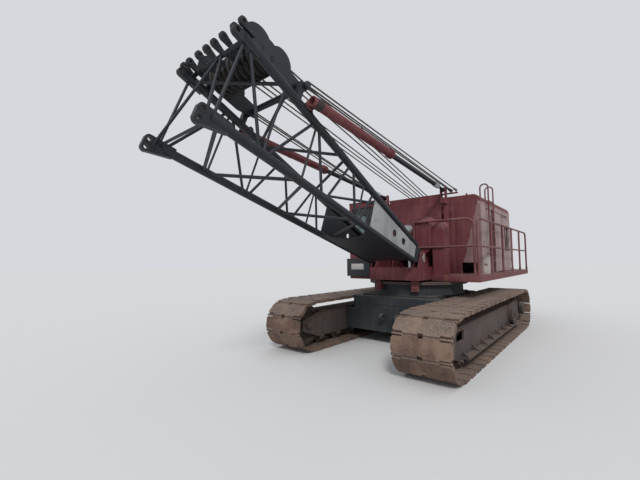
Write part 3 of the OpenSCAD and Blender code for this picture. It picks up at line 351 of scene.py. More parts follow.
def weld_in(bm, part, place=Matrix()):
    """Puts a small shape that was made on its own into the mesh of its piece."""
    made = bpy.data.meshes.new("part")
    part.to_mesh(made)
    part.free()
    made.transform(place)
    bm.from_mesh(made)
    bpy.data.meshes.remove(made)


def slab(bm, low, high, soft=0.003, turn=Matrix()):
    """A plate or block with slightly rounded edges, in machine measures."""
    low, high = spot(*low), spot(*high)
    block = bmesh.new()
    bmesh.ops.create_cube(block, size=1, matrix=Matrix.Diagonal((*(high - low), 1)))
    if soft:
        bmesh.ops.bevel(block, geom=block.edges, offset=soft, segments=2, affect="EDGES", profile=0.5, material=-1)
    weld_in(bm, block, Matrix.Translation((low + high) / 2) @ turn)


def turning(bm, at, towards, outline, steps=24):
    """A turned part: radius and height of its outline, spun round an axis through a point and closed."""
    first, last = outline[0], outline[-1]
    if first[0] == 0:
        outline = outline + [(0, last[1])] if last[0] else outline
    elif last[0] == 0:
        outline = [(0, first[1])] + outline
    elif abs(first[0] - last[0]) + abs(first[1] - last[1]) > 1e-5:
        outline = outline + [first]
    part = bmesh.new()
    rim = [part.verts.new((radius, 0, height)) for radius, height in outline]
    rim += [part.edges.new(pair) for pair in zip(rim, rim[1:])]
    bmesh.ops.spin(part, geom=rim, cent=(0, 0, 0), axis=(0, 0, 1), angle=math.tau, steps=steps, use_merge=True)
    bmesh.ops.remove_doubles(part, verts=part.verts, dist=1e-5)
    weld_in(bm, part, turned(at, towards))


def bolt_circle(bm, at, towards, radius, count, size):
    across = turned(at, towards)
    for k in range(count):
        angle = math.tau * k / count
        head(bm, across @ Vector((radius * math.cos(angle), radius * math.sin(angle), 0)), towards, size, size * 0.9)


def studs(bm, xs, ys, zs, towards, size, height, sides=6):
    """Heads at every place that the three lists of machine measures make together."""
    for place in itertools.product(xs, ys, zs):
        head(bm, spot(*place), towards, size, height, sides)


wheel_r, tumbler_r = ((high[2] - low[2]) / 2 for low, high in (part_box("idlers"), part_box("drive_tumblers")))
roller_z, roller_room, rollers = 0.1753, 0.128, 9
roller_span = run - 2 * math.sqrt((max(wheel_r, tumbler_r) + roller_room) ** 2 - (axle_z - roller_z) ** 2)
screw_z, gusset_span = 0.52, 3.808
for label, way in (("left", 1), ("right", -1)):
    middle = way * gauge / 2
    fittings = bmesh.new()
    for k in range(rollers):
        x = roller_span * (k / (rollers - 1) - 0.5)
        for y in (middle - 0.218, middle + 0.218):
            slab(fittings, (x - 0.06, y - 0.018, 0.137), (x + 0.06, y + 0.018, 0.206), 0.005)
            studs(fittings, (x - 0.042, x + 0.042), (y,), (0.137,), (0, 0, -1), 0.011, 0.01)
        head(fittings, spot(x, middle + way * 0.255, roller_z), (0, way, 0), 0.034, 0.014, 16)
    # drive case cover and its bolts
    face = spot(-1.3, middle + way * 0.325, 0.465)
    turning(fittings, face, (0, way, 0), [(0, 0.03), (0.07, 0.03), (0.085, 0.022), (0.09, 0.006),
                                          (0.215, 0.006), (0.221, 0), (0.221, -0.004)], 40)
    for rise, radius, count, size in ((0.006, 0.19, 14, 0.014), (0.03, 0.052, 4, 0.01)):
        bolt_circle(fittings, face + Vector((0, way * rise, 0)), (0, way, 0), radius, count, size)
    # adjusting screw and its yoke behind the slot
    screw = middle + way * 0.12
    pipe(fittings, spot(1.62, screw, screw_z), spot(1.96, screw, screw_z), 0.03, 20)
    for k in range(9):
        turning(fittings, spot(1.68 + k * 0.028, screw, screw_z), (1, 0, 0),
                [(0.03, -0.007), (0.036, 0), (0.03, 0.007)], 20)
    slab(fittings, (1.945, screw - 0.05, 0.46), (1.985, screw + 0.05, 0.58), 0.006)
    head(fittings, spot(1.945, screw, screw_z), (-1, 0, 0), 0.055, 0.03)
    # weld beads where the gussets stand on the ledge
    for k in range(9):
        x = gusset_span * (k / 8 - 0.5) - 0.014
        pipe(fittings, spot(x, middle + way * 0.236, 0.228), spot(x, middle + way * 0.34, 0.228), 0.005, 6)
    piece(f"frame_fittings_{label}", fittings, frame_paint, "undercarriage")

# Track wheels: cast idlers and drive tumblers in hub bearings, black with grease thrown off the
# shoes. Each hub has a bolted cap over the end of its axle.
wheel_steel = finish_with("greasy wheel steel", rusting, bump=0.002, Steel=(0.12, 0.105, 0.095, 1),
                          Rust=(0.075, 0.05, 0.038, 1), Dark=(0.022, 0.019, 0.018, 1), Polish=0.3, Dusting=0.3)
coat(wheel_steel, "idlers", "drive_tumblers", "track_rollers", "swing_rollers", "hoist_drum")
hubs = bmesh.new()
for way in (-1, 1):
    middle = way * gauge / 2
    for x, reach, wide in ((run / 2, 0.275, 0.1), (-run / 2, 0.315, 0.15)):
        face = spot(x, middle + way * reach, axle_z)
        turning(hubs, face, (0, way, 0), [(0, 0.024), (wide * 0.45, 0.022), (wide * 0.55, 0.012),
                                          (wide * 0.95, 0.01), (wide, 0), (wide, -0.012), (0, -0.012)], 32)
        bolt_circle(hubs, face + Vector((0, way * 0.01, 0)), (0, way, 0), wide * 0.76, 8, 0.012)
        bolt_circle(hubs, spot(x, middle - way * 0.275, axle_z), (0, -way, 0), 0.035, 3, 0.012)
piece("wheel_hub_caps", hubs, wheel_steel, "undercarriage")

# Carbody: a welded black box on two axle beams that are bolted between the crawler frames. The
# roller path sits on its pedestal, held by a ring of bolts.
carbody_paint = finish_with(
    "carbody paint", weathering, Paint=(0.016, 0.021, 0.024, 1), Chalk=(0.045, 0.052, 0.055, 1),
    Dust=(0.16, 0.14, 0.12, 1), Rust=(0.08, 0.042, 0.028, 1), Chalking=0.4, Rusting=0.3, Dusting=0.5,
    Gloss=0.35, Running=0.15)
coat(carbody_paint, "carbody", "plate_box")
joints = bmesh.new()
path_bolts, path_radius = 44, 0.957
for k in range(path_bolts):
    angle = math.tau * (k + 0.5) / path_bolts
    at = spot(path_radius * math.cos(angle), path_radius * math.sin(angle), 1.13)
    head(joints, at, (0, 0, -1), 0.015, 0.014)
for end, way in itertools.product((-1, 1), (-1, 1)):
    # bolted flange at the crawler frame, and the plate over the raised part's end
    x = end * 1.01
    slab(joints, (x - 0.21, way - 0.012, 0.23), (x + 0.21, way + 0.012, 0.66), 0.004)
    studs(joints, (x - 0.2, x + 0.2), (way * 0.988,), (0.28, 0.39, 0.5, 0.61), (0, -way, 0), 0.014, 0.012)
    slab(joints, (x - 0.15, way * 0.835 - 0.006, 0.68), (x + 0.15, way * 0.835 + 0.006, 0.88), 0.003)
    studs(joints, (x - 0.12, x + 0.12), (way * 0.841,), (0.71, 0.85), (0, way, 0), 0.012, 0.01)
for end in (-1, 1):
    # grease line across the beam, and its clips
    x = end * 1.201
    for y in (-0.7, -0.35, 0.35, 0.7):
        slab(joints, (x - 0.006, y - 0.012, 0.745), (x + 0.006, y + 0.012, 0.785))
    pipe(joints, spot(end * 1.207, -0.8, 0.765), spot(end * 1.207, 0.8, 0.765), 0.006, 8)
piece("carbody_fittings", joints, carbody_paint, "undercarriage")

# Revolving bed: two long welded beams and a front beam in maroon. The foot pins' keepers and the
# hook rollers' brackets are bolted on.
coat(maroon, "rotating_bed", "hook_rollers")
bed = bmesh.new()
studs(bed, (1.08,), (-0.33, -0.2, -0.07, 0.07, 0.2, 0.33), (1.26, 1.42), (1, 0, 0), 0.016, 0.014)
for way in (-1, 1):
    slab(bed, (1.08, way * 0.45 - 0.05, 1.24), (1.092, way * 0.45 + 0.05, 1.44), 0.003)
    studs(bed, (1.092,), (way * 0.45,), (1.27, 1.34, 1.41), (1, 0, 0), 0.014, 0.012)
    for x, z in itertools.product((-3.9, -3.4, -2.2, -0.9, 0.25), (1.255, 1.275)):
        pipe(bed, spot(x, way * 0.52, z), spot(x + 0.3, way * 0.52, z), 0.004, 6)
hook_angle, hook_radius = math.radians(22), 1.045
for x, y in itertools.product((-1, 1), (-1, 1)):
    out = Vector((x * math.cos(hook_angle), y * math.sin(hook_angle), 0))
    across = Vector((-out.y, out.x, 0))
    turning(bed, spot(0, 0, 1.079) + out * hook_radius, out,
            [(0, 0.026), (0.024, 0.024), (0.028, 0.014), (0.048, 0.012), (0.052, 0)])
    for step, z in itertools.product((-0.045, 0.045), (1.16, 1.205)):
        head(bed, spot(0, 0, z) + out * hook_radius + across * step, out, 0.013, 0.012)
piece("bed_fittings", bed, maroon, "upperworks")

# Decks: checker plate on an edge beam, with a gutter weld along the edge. The lozenges are rolled
# into the plate, and its maroon paint is dull with dust.
lozenges, given, result = group("checker plate", [("Pitch", 0.055)], [("Height", "Float")])
node, calc, times, plus, ramp, mix = tools_for(lozenges)
spread = node("CombineXYZ", X=given["Pitch"], Y=given["Pitch"], Z=given["Pitch"]).outputs[0]
steps = node("VectorMath", operation="DIVIDE", _0=node("TexCoord").outputs["Object"], _1=spread).outputs[0]
cells = node("SeparateXYZ", Vector=node("VectorMath", operation="FRACTION", _0=steps).outputs[0])
bumps = []
for centre, long_x, long_y in ((0.25, 0.2, 0.055), (0.75, 0.055, 0.2)):
    squares = []
    for axis, long in (("X", long_x), ("Y", long_y)):
        off = calc("DIVIDE", calc("SUBTRACT", cells.outputs[axis], centre), long)
        squares.append(times(off, off))
    bumps.append(ramp(plus(*squares), 1.0, 0.5))
lozenges.links.new(calc("MAXIMUM", *bumps), result["Height"])
deck_paint = finish_with(
    "checker plate paint", weathering, Paint=(0.105, 0.019, 0.025, 1), Chalk=(0.18, 0.07, 0.072, 1),
    Dust=(0.26, 0.18, 0.16, 1), Chalking=0.45, Rusting=0.45, Dusting=0.45)


def find(tree, kind):
    return next(each for each in tree.nodes if each.bl_idname == "ShaderNode" + kind)


tree = deck_paint.node_tree
node, calc, times, plus, ramp, mix = tools_for(tree)
paint = find(tree, "Group")
checker = tree.nodes.new("ShaderNodeGroup")
checker.node_tree = lozenges
upward = node("SeparateXYZ", Vector=node("NewGeometry").outputs["Normal"]).outputs["Z"]
raised = times(checker.outputs["Height"], ramp(upward, 0.6, 0.95))
tree.links.new(plus(paint.outputs["Height"], times(raised, 1.6)), find(tree, "Bump").inputs["Height"])
coat(deck_paint, "deck_left", "deck_right")
decks = bmesh.new()
for way in (-1, 1):
    studs(decks, [0.44 - k * 0.255 for k in range(20)], (way * 1.405,), (1.25,), (0, way, 0), 0.011, 0.009)
    pipe(decks, spot(-4.45, way * 1.36, 1.271), spot(0.5, way * 1.36, 1.271), 0.006, 6)
studs(decks, (0.5,), (0.6, 0.85, 1.1, 1.3), (1.25,), (1, 0, 0), 0.011, 0.009)
slab(decks, (0.5, 0.53, 1.2), (0.506, 1.4, 1.3), 0.002)
piece("deck_bolts", decks, deck_paint, "upperworks")

# Guard rails: bent pipe that stands in sockets on the deck's edge, each with a pinch bolt. The
# maroon has chalked, and it is rubbed down to pale primer in places.
rail_paint = finish_with("rail paint", weathering, Paint=(0.105, 0.02, 0.026, 1), Chalk=(0.22, 0.11, 0.11, 1),
                         Dust=(0.36, 0.26, 0.24, 1), Chalking=0.4, Rusting=0.35, Dusting=0.4)
coat(rail_paint, "handrail_left", "handrail_right", "ladder")
rails = bmesh.new()
deck_z, rail_front, rail_length, rail_y = 1.31, 0.473, 4.896, 1.378
# the right rail starts behind the cab, at its third post
posts = [(rail_front - rail_length * k / 5, rail_y * way) for way in (1, -1) for k in range(0 if way > 0 else 2, 6)]
for x, y in posts + [(rail_front, 1.318)]:
    turning(rails, spot(x, y, deck_z), (0, 0, 1), [(0.0265, 0), (0.0265, 0.08), (0.022, 0.082)], 16)
    head(rails, spot(x - 0.026, y, deck_z + 0.05), (-1, 0, 0), 0.009, 0.014)
turning(rails, spot(rail_front, 0.165, 1.25), (0, 0, 1), [(0.0265, 0), (0.0265, 0.1), (0.022, 0.102)], 16)
for x, y in posts:
    turning(rails, spot(x, y, 1.845), (1, 0, 0),
            [(0.0195, -0.024), (0.0225, -0.021), (0.0225, 0.021), (0.0195, 0.024)], 16)
piece("rail_sockets", rails, rail_paint, "upperworks")

# House: sheet-steel walls with riveted seams, dark maroon in front. A paler patch with a slanting edge
# is painted on one corner panel of the front: painted light for the brighter light on that part of the wall.
wall_paint = finish_with(
    "front wall paint", weathering, Paint=(0.11, 0.018, 0.025, 1), Chalk=(0.175, 0.055, 0.06, 1),
    Dust=(0.25, 0.15, 0.135, 1), Chalking=0.42, Rusting=0.3, Dusting=0.28)
tree = wall_paint.node_tree
node, calc, times, plus, ramp, mix = tools_for(tree)
place = node("TexCoord").outputs["Object"]
where = node("SeparateXYZ", Vector=place)
ragged = node("TexNoise", Vector=place, Scale=9, Detail=5).outputs[0]
slant = calc("SUBTRACT", where.outputs["Y"], times(where.outputs["Z"], 0.2445))
slant = plus(slant, times(calc("SUBTRACT", ragged, 0.5), 0.05))
# painted light: the paler patch beyond the slanting line stands for brighter light on this part of the front wall
painted_light = times(ramp(slant, 0.47, 0.5), plus(0.45, times(ragged, 0.6)))
tree.links.new(mix(painted_light, find(tree, "Group").outputs["Color"], (0.26, 0.17, 0.165, 1)),
               tree.nodes["Principled BSDF"].inputs["Base Color"])
coat(wall_paint, "house_front_wall")
coat(maroon, "house_right_wall", "house_rear_wall", "house_roof")
bleached = finish_with(
    "bleached maroon", weathering, Paint=(0.2, 0.095, 0.1, 1), Chalk=(0.34, 0.25, 0.245, 1),
    Dust=(0.32, 0.25, 0.235, 1), Chalking=0.68, Rusting=0.3, Dusting=0.3, Gloss=0.2, Edge_Wear=0.12)
coat(bleached, "house_left_wall")


def seam(bm, start, end, out, wide=0.04, thick=0.003, pitch=0.11):
    """A riveted strip between two points of a wall."""
    start, end, out = spot(*start), spot(*end), Vector(out)
    along = (end - start).normalized()
    strip = Matrix.Translation((start + end) / 2 + out * thick * 0.4) @ Matrix((
        along, out.cross(along), out)).transposed().to_4x4()
    bmesh.ops.create_cube(bm, size=1, matrix=strip @ Matrix.Diagonal(((end - start).length, wide, thick, 1)))
    count = max(2, round((end - start).length / pitch))
    for k in range(count):
        at = start + (end - start) * (k + 0.5) / count + out * (thick * 0.8 + 0.0012)
        bmesh.ops.create_cone(bm, cap_ends=True, segments=8, radius1=0.008, radius2=0.004, depth=0.003,
                              matrix=turned(at, out))


def hoop(radius, thick, points=8, rise=0):
    """The outline that turning makes into a ring of round bar."""
    angles = [math.tau * k / points for k in range(points + 1)]
    return [(radius + thick * math.cos(a), rise + thick * math.sin(a)) for a in angles]


wall_y, front_x, rear_x, roof_z, strip_low, strip_high = 1.23, -0.4, -3.1, 2.96, 1.33, 2.79
left = bmesh.new()
for x in (-0.425, -0.745, -2.34, -3.075):
    seam(left, (x, wall_y, strip_low), (x, wall_y, strip_high), (0, 1, 0))
for x, z in ((-0.41, 2.77), (-2.06, 1.335)):
    seam(left, (-3.09, wall_y, z), (x, wall_y, z), (0, 1, 0))
# window frame in the left wall, with a bar behind it
for low_x, low_z, high_x, high_z in ((-2.97, 1.79, -2.43, 1.82), (-2.97, 2.4, -2.43, 2.43),
                                     (-2.97, 1.82, -2.94, 2.4), (-2.46, 1.82, -2.43, 2.4)):
    slab(left, (low_x, 1.228, low_z), (high_x, 1.234, high_z), 0.0015)
slab(left, (-2.71, 1.2, 1.81), (-2.69, 1.22, 2.41), 0.002)
piece("left_wall_seams", left, bleached, "upperworks")
front = bmesh.new()
for y in (0.72, 1.205, -0.72):
    seam(front, (front_x, y, strip_low), (front_x, y, 2.76), (1, 0, 0), 0.034)
seam(front, (front_x, -1.15, 2.775), (front_x, 1.15, 2.775), (1, 0, 0), 0.034)
# sheets that close the front opening beside the drum, with a folded edge
for way in (-1, 1):
    for x, wide in ((-0.404, 0.175), (-0.425, 0.006)):
        low, high = sorted((way * 0.53, way * (0.53 + wide)))
        slab(front, (x, low, 1.312), (-0.399, high, 2.79), 0.001)
piece("front_wall_seams", front, wall_paint, "upperworks")
house = bmesh.new()
for x in (-3.075, -1.3, -0.43):
    seam(house, (x, -wall_y, strip_low), (x, -wall_y, strip_high), (0, -1, 0))
seam(house, (-3.09, -wall_y, 2.77), (-0.41, -wall_y, 2.77), (0, -1, 0))
for y in (-1.17, 0, 1.17):
    seam(house, (rear_x, y, 1.5), (rear_x, y, 2.76), (-1, 0, 0))
for x in (-1.1, -1.75, -2.4):
    seam(house, (x, -1.06, roof_z), (x, 1.06, roof_z), (0, 0, 1), 0.05, 0.004, 0.16)
# bent louvre blades over the slots, a roof hatch with its hinges, and four lifting eyes
for count, rise, low, high, axis in ((7, 0.5, (-2.87, -1.25), (-1.33, -1.247), "X"),
                                     (6, 0.57, (-3.12, -0.72), (-3.117, 0.72), "Y")):
    for k in range(count):
        z = deck_z + rise + k * 0.11
        slab(house, (*low, z - 0.036), (*high, z + 0.03), 0, Matrix.Rotation(math.radians(32), 4, axis))
slab(house, (-2.9, -0.35, roof_z), (-2.45, 0.35, 2.985), 0.008)
for y in (-0.22, 0.22):
    pipe(house, spot(-2.44, y - 0.05, 2.972), spot(-2.44, y + 0.05, 2.972), 0.012)
pipe(house, spot(-2.86, -0.07, 3.0), spot(-2.86, 0.07, 3.0), 0.007)
for y in (-0.07, 0.07):
    pipe(house, spot(-2.86, y, 2.98), spot(-2.86, y, 3.0), 0.007)
for x, y in itertools.product((-0.62, -2.95), (-0.9, 0.9)):
    turning(house, spot(x, y, 3.0), (0, 1, 0), hoop(0.034, 0.009), 20)
    turning(house, spot(x, y, roof_z), (0, 0, 1), [(0, 0.01), (0.03, 0.008), (0.034, 0)], 16)
piece("house_fittings", house, maroon, "upperworks")

# Side door: a flat steel panel that slides on two rails along the wall. It has two pressed
# stiffeners, a row of screws down each side and a dark rubber edge at both ends.
coat(bleached, "house_door")
panel = bmesh.new()
for low, high in ((1.5, 1.98), (2.1, 2.56)):
    slab(panel, (-1.92, 1.264, low), (-1.36, 1.2665, high), 0.002)
studs(panel, (-1.94, -1.34), (1.264,), [1.45 + k * 0.145 for k in range(9)], (0, 1, 0), 0.007, 0.004, 8)
piece("door_panels", panel, bleached, "house_door")
trim = finish_with("black cab trim", weathering, Paint=(0.015, 0.015, 0.016, 1), Chalk=(0.07, 0.07, 0.068, 1),
                   Rust=(0.05, 0.045, 0.04, 1), Chalking=0.3, Rusting=0.0, Dusting=0.4, Gloss=0.5)
rubber = bmesh.new()
for low, high in ((-1.278, -1.252), (-2.008, -1.985)):
    slab(rubber, (low, 1.2635, 1.375), (high, 1.268, 2.665), 0.002)
piece("door_rubber", rubber, trim, "house_door")

# Ladder: pipe rails with welded rungs, bent into loops to hold above the roof. Its feet stand on
# bolted plates on the deck, and its stays end on round plates on the wall.
feet = bmesh.new()
for x in (-1.2, -0.8):
    slab(feet, (x - 0.045, 1.25, deck_z), (x + 0.045, 1.32, 1.317), 0.002)
    studs(feet, (x - 0.032, x + 0.032), (1.285,), (1.317,), (0, 0, 1), 0.007, 0.006)
    for z in (1.73, 2.68):
        turning(feet, spot(x, wall_y, z), (0, 1, 0), [(0, 0.006), (0.03, 0.006), (0.032, 0)], 16)
piece("ladder_feet", feet, rail_paint, "upperworks")

# Cabinet on the left deck: a box of folded grey sheet steel that stands against the house wall. Its
# lid turns on two hinges and is held by a latch.
grey_paint = finish_with("grey paint", weathering, Paint=(0.36, 0.32, 0.3, 1), Chalk=(0.5, 0.47, 0.45, 1),
                         Dust=(0.36, 0.3, 0.27, 1), Chalking=0.5, Rusting=0.35, Dusting=0.35)
coat(grey_paint, "side_locker")
locker = bmesh.new()
slab(locker, (-0.73, 1.232, 1.628), (-0.47, 1.353, 1.652), 0.004)
slab(locker, (-0.7, 1.344, 1.35), (-0.5, 1.3465, 1.6), 0.001)
slab(locker, (-0.61, 1.345, 1.56), (-0.59, 1.357, 1.645), 0.003)
for x in (-0.68, -0.52):
    pipe(locker, spot(x - 0.025, 1.232, 1.655), spot(x + 0.025, 1.232, 1.655), 0.006, 8)
piece("locker_lid", locker, grey_paint, "upperworks")

# Operator's cab: a maroon steel box with rubber-set windows, a wiper, a grab bar and a door with
# its own pane and a lever handle.
coat(maroon, "cab_shell", "cab_door")
pane, tree, shader = plain("cab glass")
node, calc, times, plus, ramp, mix = tools_for(tree)
shader.inputs["Base Color"].default_value = (0.36, 0.43, 0.44, 1)
shader.inputs["Transmission Weight"].default_value = 1
grime = node("TexNoise", Vector=node("TexCoord").outputs["Object"], Scale=5, Detail=6).outputs[0]
tree.links.new(times(grime, 0.03), shader.inputs["Roughness"])
coat(pane, "cab_glass")
glazing = bmesh.new()
slab(glazing, (-0.212, -1.388, 2.058), (0.322, -1.382, 2.712), 0)
piece("door_pane", glazing, pane, "cab_door")


def frame_round(bm, low, high, flat, thick):
    """A rubber frame round an opening: low and high are its corners, flat is the axis it faces."""
    wide = 0.018
    a, b = [k for k in range(3) if k != flat]
    for axis, other, longer in ((a, b, wide), (b, a, 0)):
        for end, way in ((low, -1), (high, 1)):
            first, last = list(low), list(high)
            first[flat], last[flat] = thick
            first[axis] -= longer
            last[axis] += longer
            first[other], last[other] = sorted((end[other], end[other] + way * wide))
            slab(bm, first, last, 0.002)


windows = bmesh.new()
frame_round(windows, (0, -1.315, 2.07), (0, -0.812, 2.78), 0, (0.498, 0.508))
frame_round(windows, (-0.27, 0, 2.07), (0.37, 0, 2.78), 1, (-0.724, -0.714))
# wiper: its motor, arm and blade
head(windows, spot(0.5, -1.02, 2.79), (1, 0, 0), 0.02, 0.03, 12)
pipe(windows, spot(0.512, -1.02, 2.76), spot(0.514, -1.14, 2.3), 0.005, 8)
pipe(windows, spot(0.516, -1.13, 2.5), spot(0.516, -1.16, 2.16), 0.006, 8)
piece("cab_window_rubber", windows, trim, "upperworks")
opening = bmesh.new()
frame_round(opening, (-0.2, 0, 2.07), (0.31, 0, 2.7), 1, (-1.412, -1.402))
piece("door_window_rubber", opening, trim, "cab_door")
handle = bmesh.new()
pipe(handle, spot(0.33, -1.4, 1.93), spot(0.33, -1.445, 1.93), 0.009)
pipe(handle, spot(0.23, -1.445, 1.93), spot(0.345, -1.445, 1.93), 0.009)
turning(handle, spot(0.33, -1.405, 1.93), (0, -1, 0), [(0, 0.008), (0.028, 0.006), (0.03, 0)], 20)
piece("cab_door_handle", handle, trim, "cab_door")
cab = bmesh.new()
for z in (1.95, 2.6):
    pipe(cab, spot(0.47, -1.4, z), spot(0.47, -1.45, z), 0.009)
pipe(cab, spot(0.47, -1.45, 1.94), spot(0.47, -1.45, 2.61), 0.011)
slab(cab, (-0.41, -1.412, 2.905), (0.512, -0.715, 2.935), 0.006)
studs(cab, (0.5,), (-1.37, -0.76), [1.75 + k * 0.2 for k in range(6)], (1, 0, 0), 0.008, 0.005, 8)
piece("cab_fittings", cab, maroon, "upperworks")

# Control levers: steel rods with round knobs that stand in rubber boots on a sheet console. Plain
# round gauges are let into its face.
coat(trim, "control_levers")
dials = bmesh.new()
for k in range(4):
    turning(dials, spot(0.36, -1.27 + k * 0.11, 1.81), (-1, 0, 0),
            [(0, 0.004), (0.034, 0.004), (0.036, 0.012), (0.042, 0.01), (0.044, 0)], 24)
    turning(dials, spot(0.405, -1.245 + k * 0.1, 1.872), (0, 0, 1),
            [(0.026, -0.016), (0.02, 0), (0.012, 0.03), (0.01, 0.034)], 16)
piece("console_gauges", dials, trim, "upperworks")

# Operator's seat: a sprung steel pedestal under two vinyl cushions, sewn in channels and crowned
# by their foam. The vinyl is cracked and shiny where the operator sat.
vinyl, tree, shader = plain("seat vinyl")
node, calc, times, plus, ramp, mix = tools_for(tree)
place = node("TexCoord").outputs["Object"]
grain = node("TexVoronoi", Vector=place, Scale=420).outputs["Distance"]
creases = node("TexNoise", Vector=place, Scale=26, Detail=8, Roughness=0.75).outputs[0]
patches = node("TexNoise", Vector=place, Scale=6, Detail=4).outputs[0]
tone = mix(ramp(patches, 0.35, 0.7), (0.014, 0.014, 0.015, 1), (0.045, 0.042, 0.04, 1))
tone = mix(times(ramp(creases, 0.62, 0.72), 0.5), tone, (0.13, 0.12, 0.11, 1))
tree.links.new(tone, shader.inputs["Base Color"])
tree.links.new(plus(0.38, times(patches, 0.3)), shader.inputs["Roughness"])
relief = node("Bump", Strength=0.5, Distance=0.001, Height=plus(grain, times(creases, 1.5)))
tree.links.new(relief.outputs[0], shader.inputs["Normal"])


def cushion(name, low, high, channels, along, puff, face):
    """A padded block: swollen by the cloth solver, then drawn in along its sewn channels."""
    shape = bmesh.new()
    slab(shape, low, high, 0.028)
    bmesh.ops.recalc_face_normals(shape, faces=shape.faces)
    made = bpy.data.meshes.new(name)
    shape.to_mesh(made)
    shape.free()
    obj = bpy.data.objects.new(name, made)
    bpy.context.collection.objects.link(obj)

    def solved():
        return obj.evaluated_get(bpy.context.evaluated_depsgraph_get())

    even = obj.modifiers.new("even", "REMESH")
    even.mode, even.voxel_size = "VOXEL", 0.011
    made = bpy.data.meshes.new_from_object(solved())
    obj.modifiers.clear()
    obj.data = made
    unswollen = [vertex.co.copy() for vertex in made.vertices]
    cloth = obj.modifiers.new("cloth", "CLOTH")
    cloth.settings.use_pressure = True
    cloth.settings.uniform_pressure_force = 4
    cloth.settings.effector_weights.gravity = 0
    for frame_number in range(1, 21):
        bpy.context.scene.frame_set(frame_number)
    for vertex, was in zip(solved().to_mesh().vertices, unswollen):
        move = vertex.co - was
        made.vertices[vertex.index].co = was + move.normalized() * min(move.length, puff)
    solved().to_mesh_clear()
    obj.modifiers.clear()
    bpy.context.scene.frame_set(1)
    middle = sum(unswollen, Vector()) / len(unswollen)
    axis, way = face
    for vertex in made.vertices:
        near = min(abs(vertex.co[along] - channel) for channel in channels)
        if (vertex.co - middle)[axis] * way > 0:
            vertex.co[axis] -= way * 0.009 * math.exp(-(near / 0.008) ** 2)
    made.shade_smooth()
    made.materials.append(vinyl)
    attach(obj, "upperworks")
    return obj


base = cushion("seat_cushion", (-0.285, -1.28, 1.703), (0.157, -0.847, 1.777),
               [swing + x for x in (-0.13, -0.02, 0.09)], 0, 0.009, (2, 1))
cushion("seat_back", (-0.292, -1.272, 1.81), (-0.222, -0.855, 2.3), [1.94, 2.06, 2.18], 2, 0.007, (0, 1))
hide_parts("operator_seat")
stand = bmesh.new()
slab(stand, (-0.17, -1.16, 1.352), (0.03, -0.967, 1.366), 0.004)
slab(stand, (-0.2, -1.19, 1.68), (0.06, -0.937, 1.7), 0.004)
pedestal = spot(-0.07, -1.0635, 1.366)
turning(stand, pedestal, (0, 0, 1), [(0.06, 0), (0.06, 0.12), (0.045, 0.13), (0.045, 0.31)], 24)
for k in range(5):
    turning(stand, pedestal, (0, 0, 1), hoop(0.06, 0.009, rise=0.15 + k * 0.03), 24)
for y in (-1.17, -0.957):
    slab(stand, (-0.3, y - 0.015, 1.688), (-0.15, y + 0.015, 1.7), 0.003)
    slab(stand, (-0.3, y - 0.015, 1.69), (-0.292, y + 0.015, 2.1), 0.003)
piece("seat_stand", stand, trim, "upperworks")

# Plate box below the cab: a dark box of folded sheet steel with a hinged lid and a bolt at each
# corner. A bare metal plate is held on its front by four rivets.
bare_metal = finish_with(
    "bare plate", rusting, bump=0.0006, Steel=(0.5, 0.5, 0.49, 1), Rust=(0.36, 0.33, 0.3, 1),
    Dark=(0.26, 0.25, 0.24, 1), Polish=0.9, Dusting=0.3)
plate = bmesh.new()
slab(plate, (0.5755, -1.32, 1.4), (0.578, -0.99, 1.53), 0.001)
studs(plate, (0.578,), (-1.3, -1.01), (1.415, 1.515), (1, 0, 0), 0.008, 0.004, 10)
piece("bare_plate", plate, bare_metal, "upperworks")
lid = bmesh.new()
slab(lid, (0.499, -1.45, 1.628), (0.575, -0.847, 1.645), 0.003)
for y in (-1.35, -0.95):
    pipe(lid, spot(0.572, y - 0.04, 1.628), spot(0.572, y + 0.04, 1.628), 0.007, 10)
studs(lid, (0.57,), (-1.41, -0.885), (1.29, 1.58), (1, 0, 0), 0.009, 0.006)
piece("plate_box_lid", lid, carbody_paint, "upperworks")

# Counterweight: a slab of plate and concrete behind the house, hung by bolts, with two lifting
# loops on its top.
coat(maroon, "counterweight")
weight = bmesh.new()
for y in (-0.6, 0.6):
    turning(weight, spot(-4.05, y, 2.46), (0, 1, 0), hoop(0.09, 0.016, 10), 28)
    slab(weight, (-4.2, y - 0.05, 2.458), (-3.9, y + 0.05, 2.468), 0.003)
for y, z in itertools.product((-0.8, -0.3, 0.3, 0.8), (1.62, 2.3)):
    turning(weight, spot(-4.497, y, z), (-1, 0, 0), [(0, 0.002), (0.03, 0.002), (0.034, 0)], 6)
for way in (1, -1):
    seam(weight, (-4.4, way, 1.6), (-3.7, way, 1.6), (0, way, 0), 0.05, 0.004, 0.14)
piece("counterweight_fittings", weight, maroon, "upperworks")

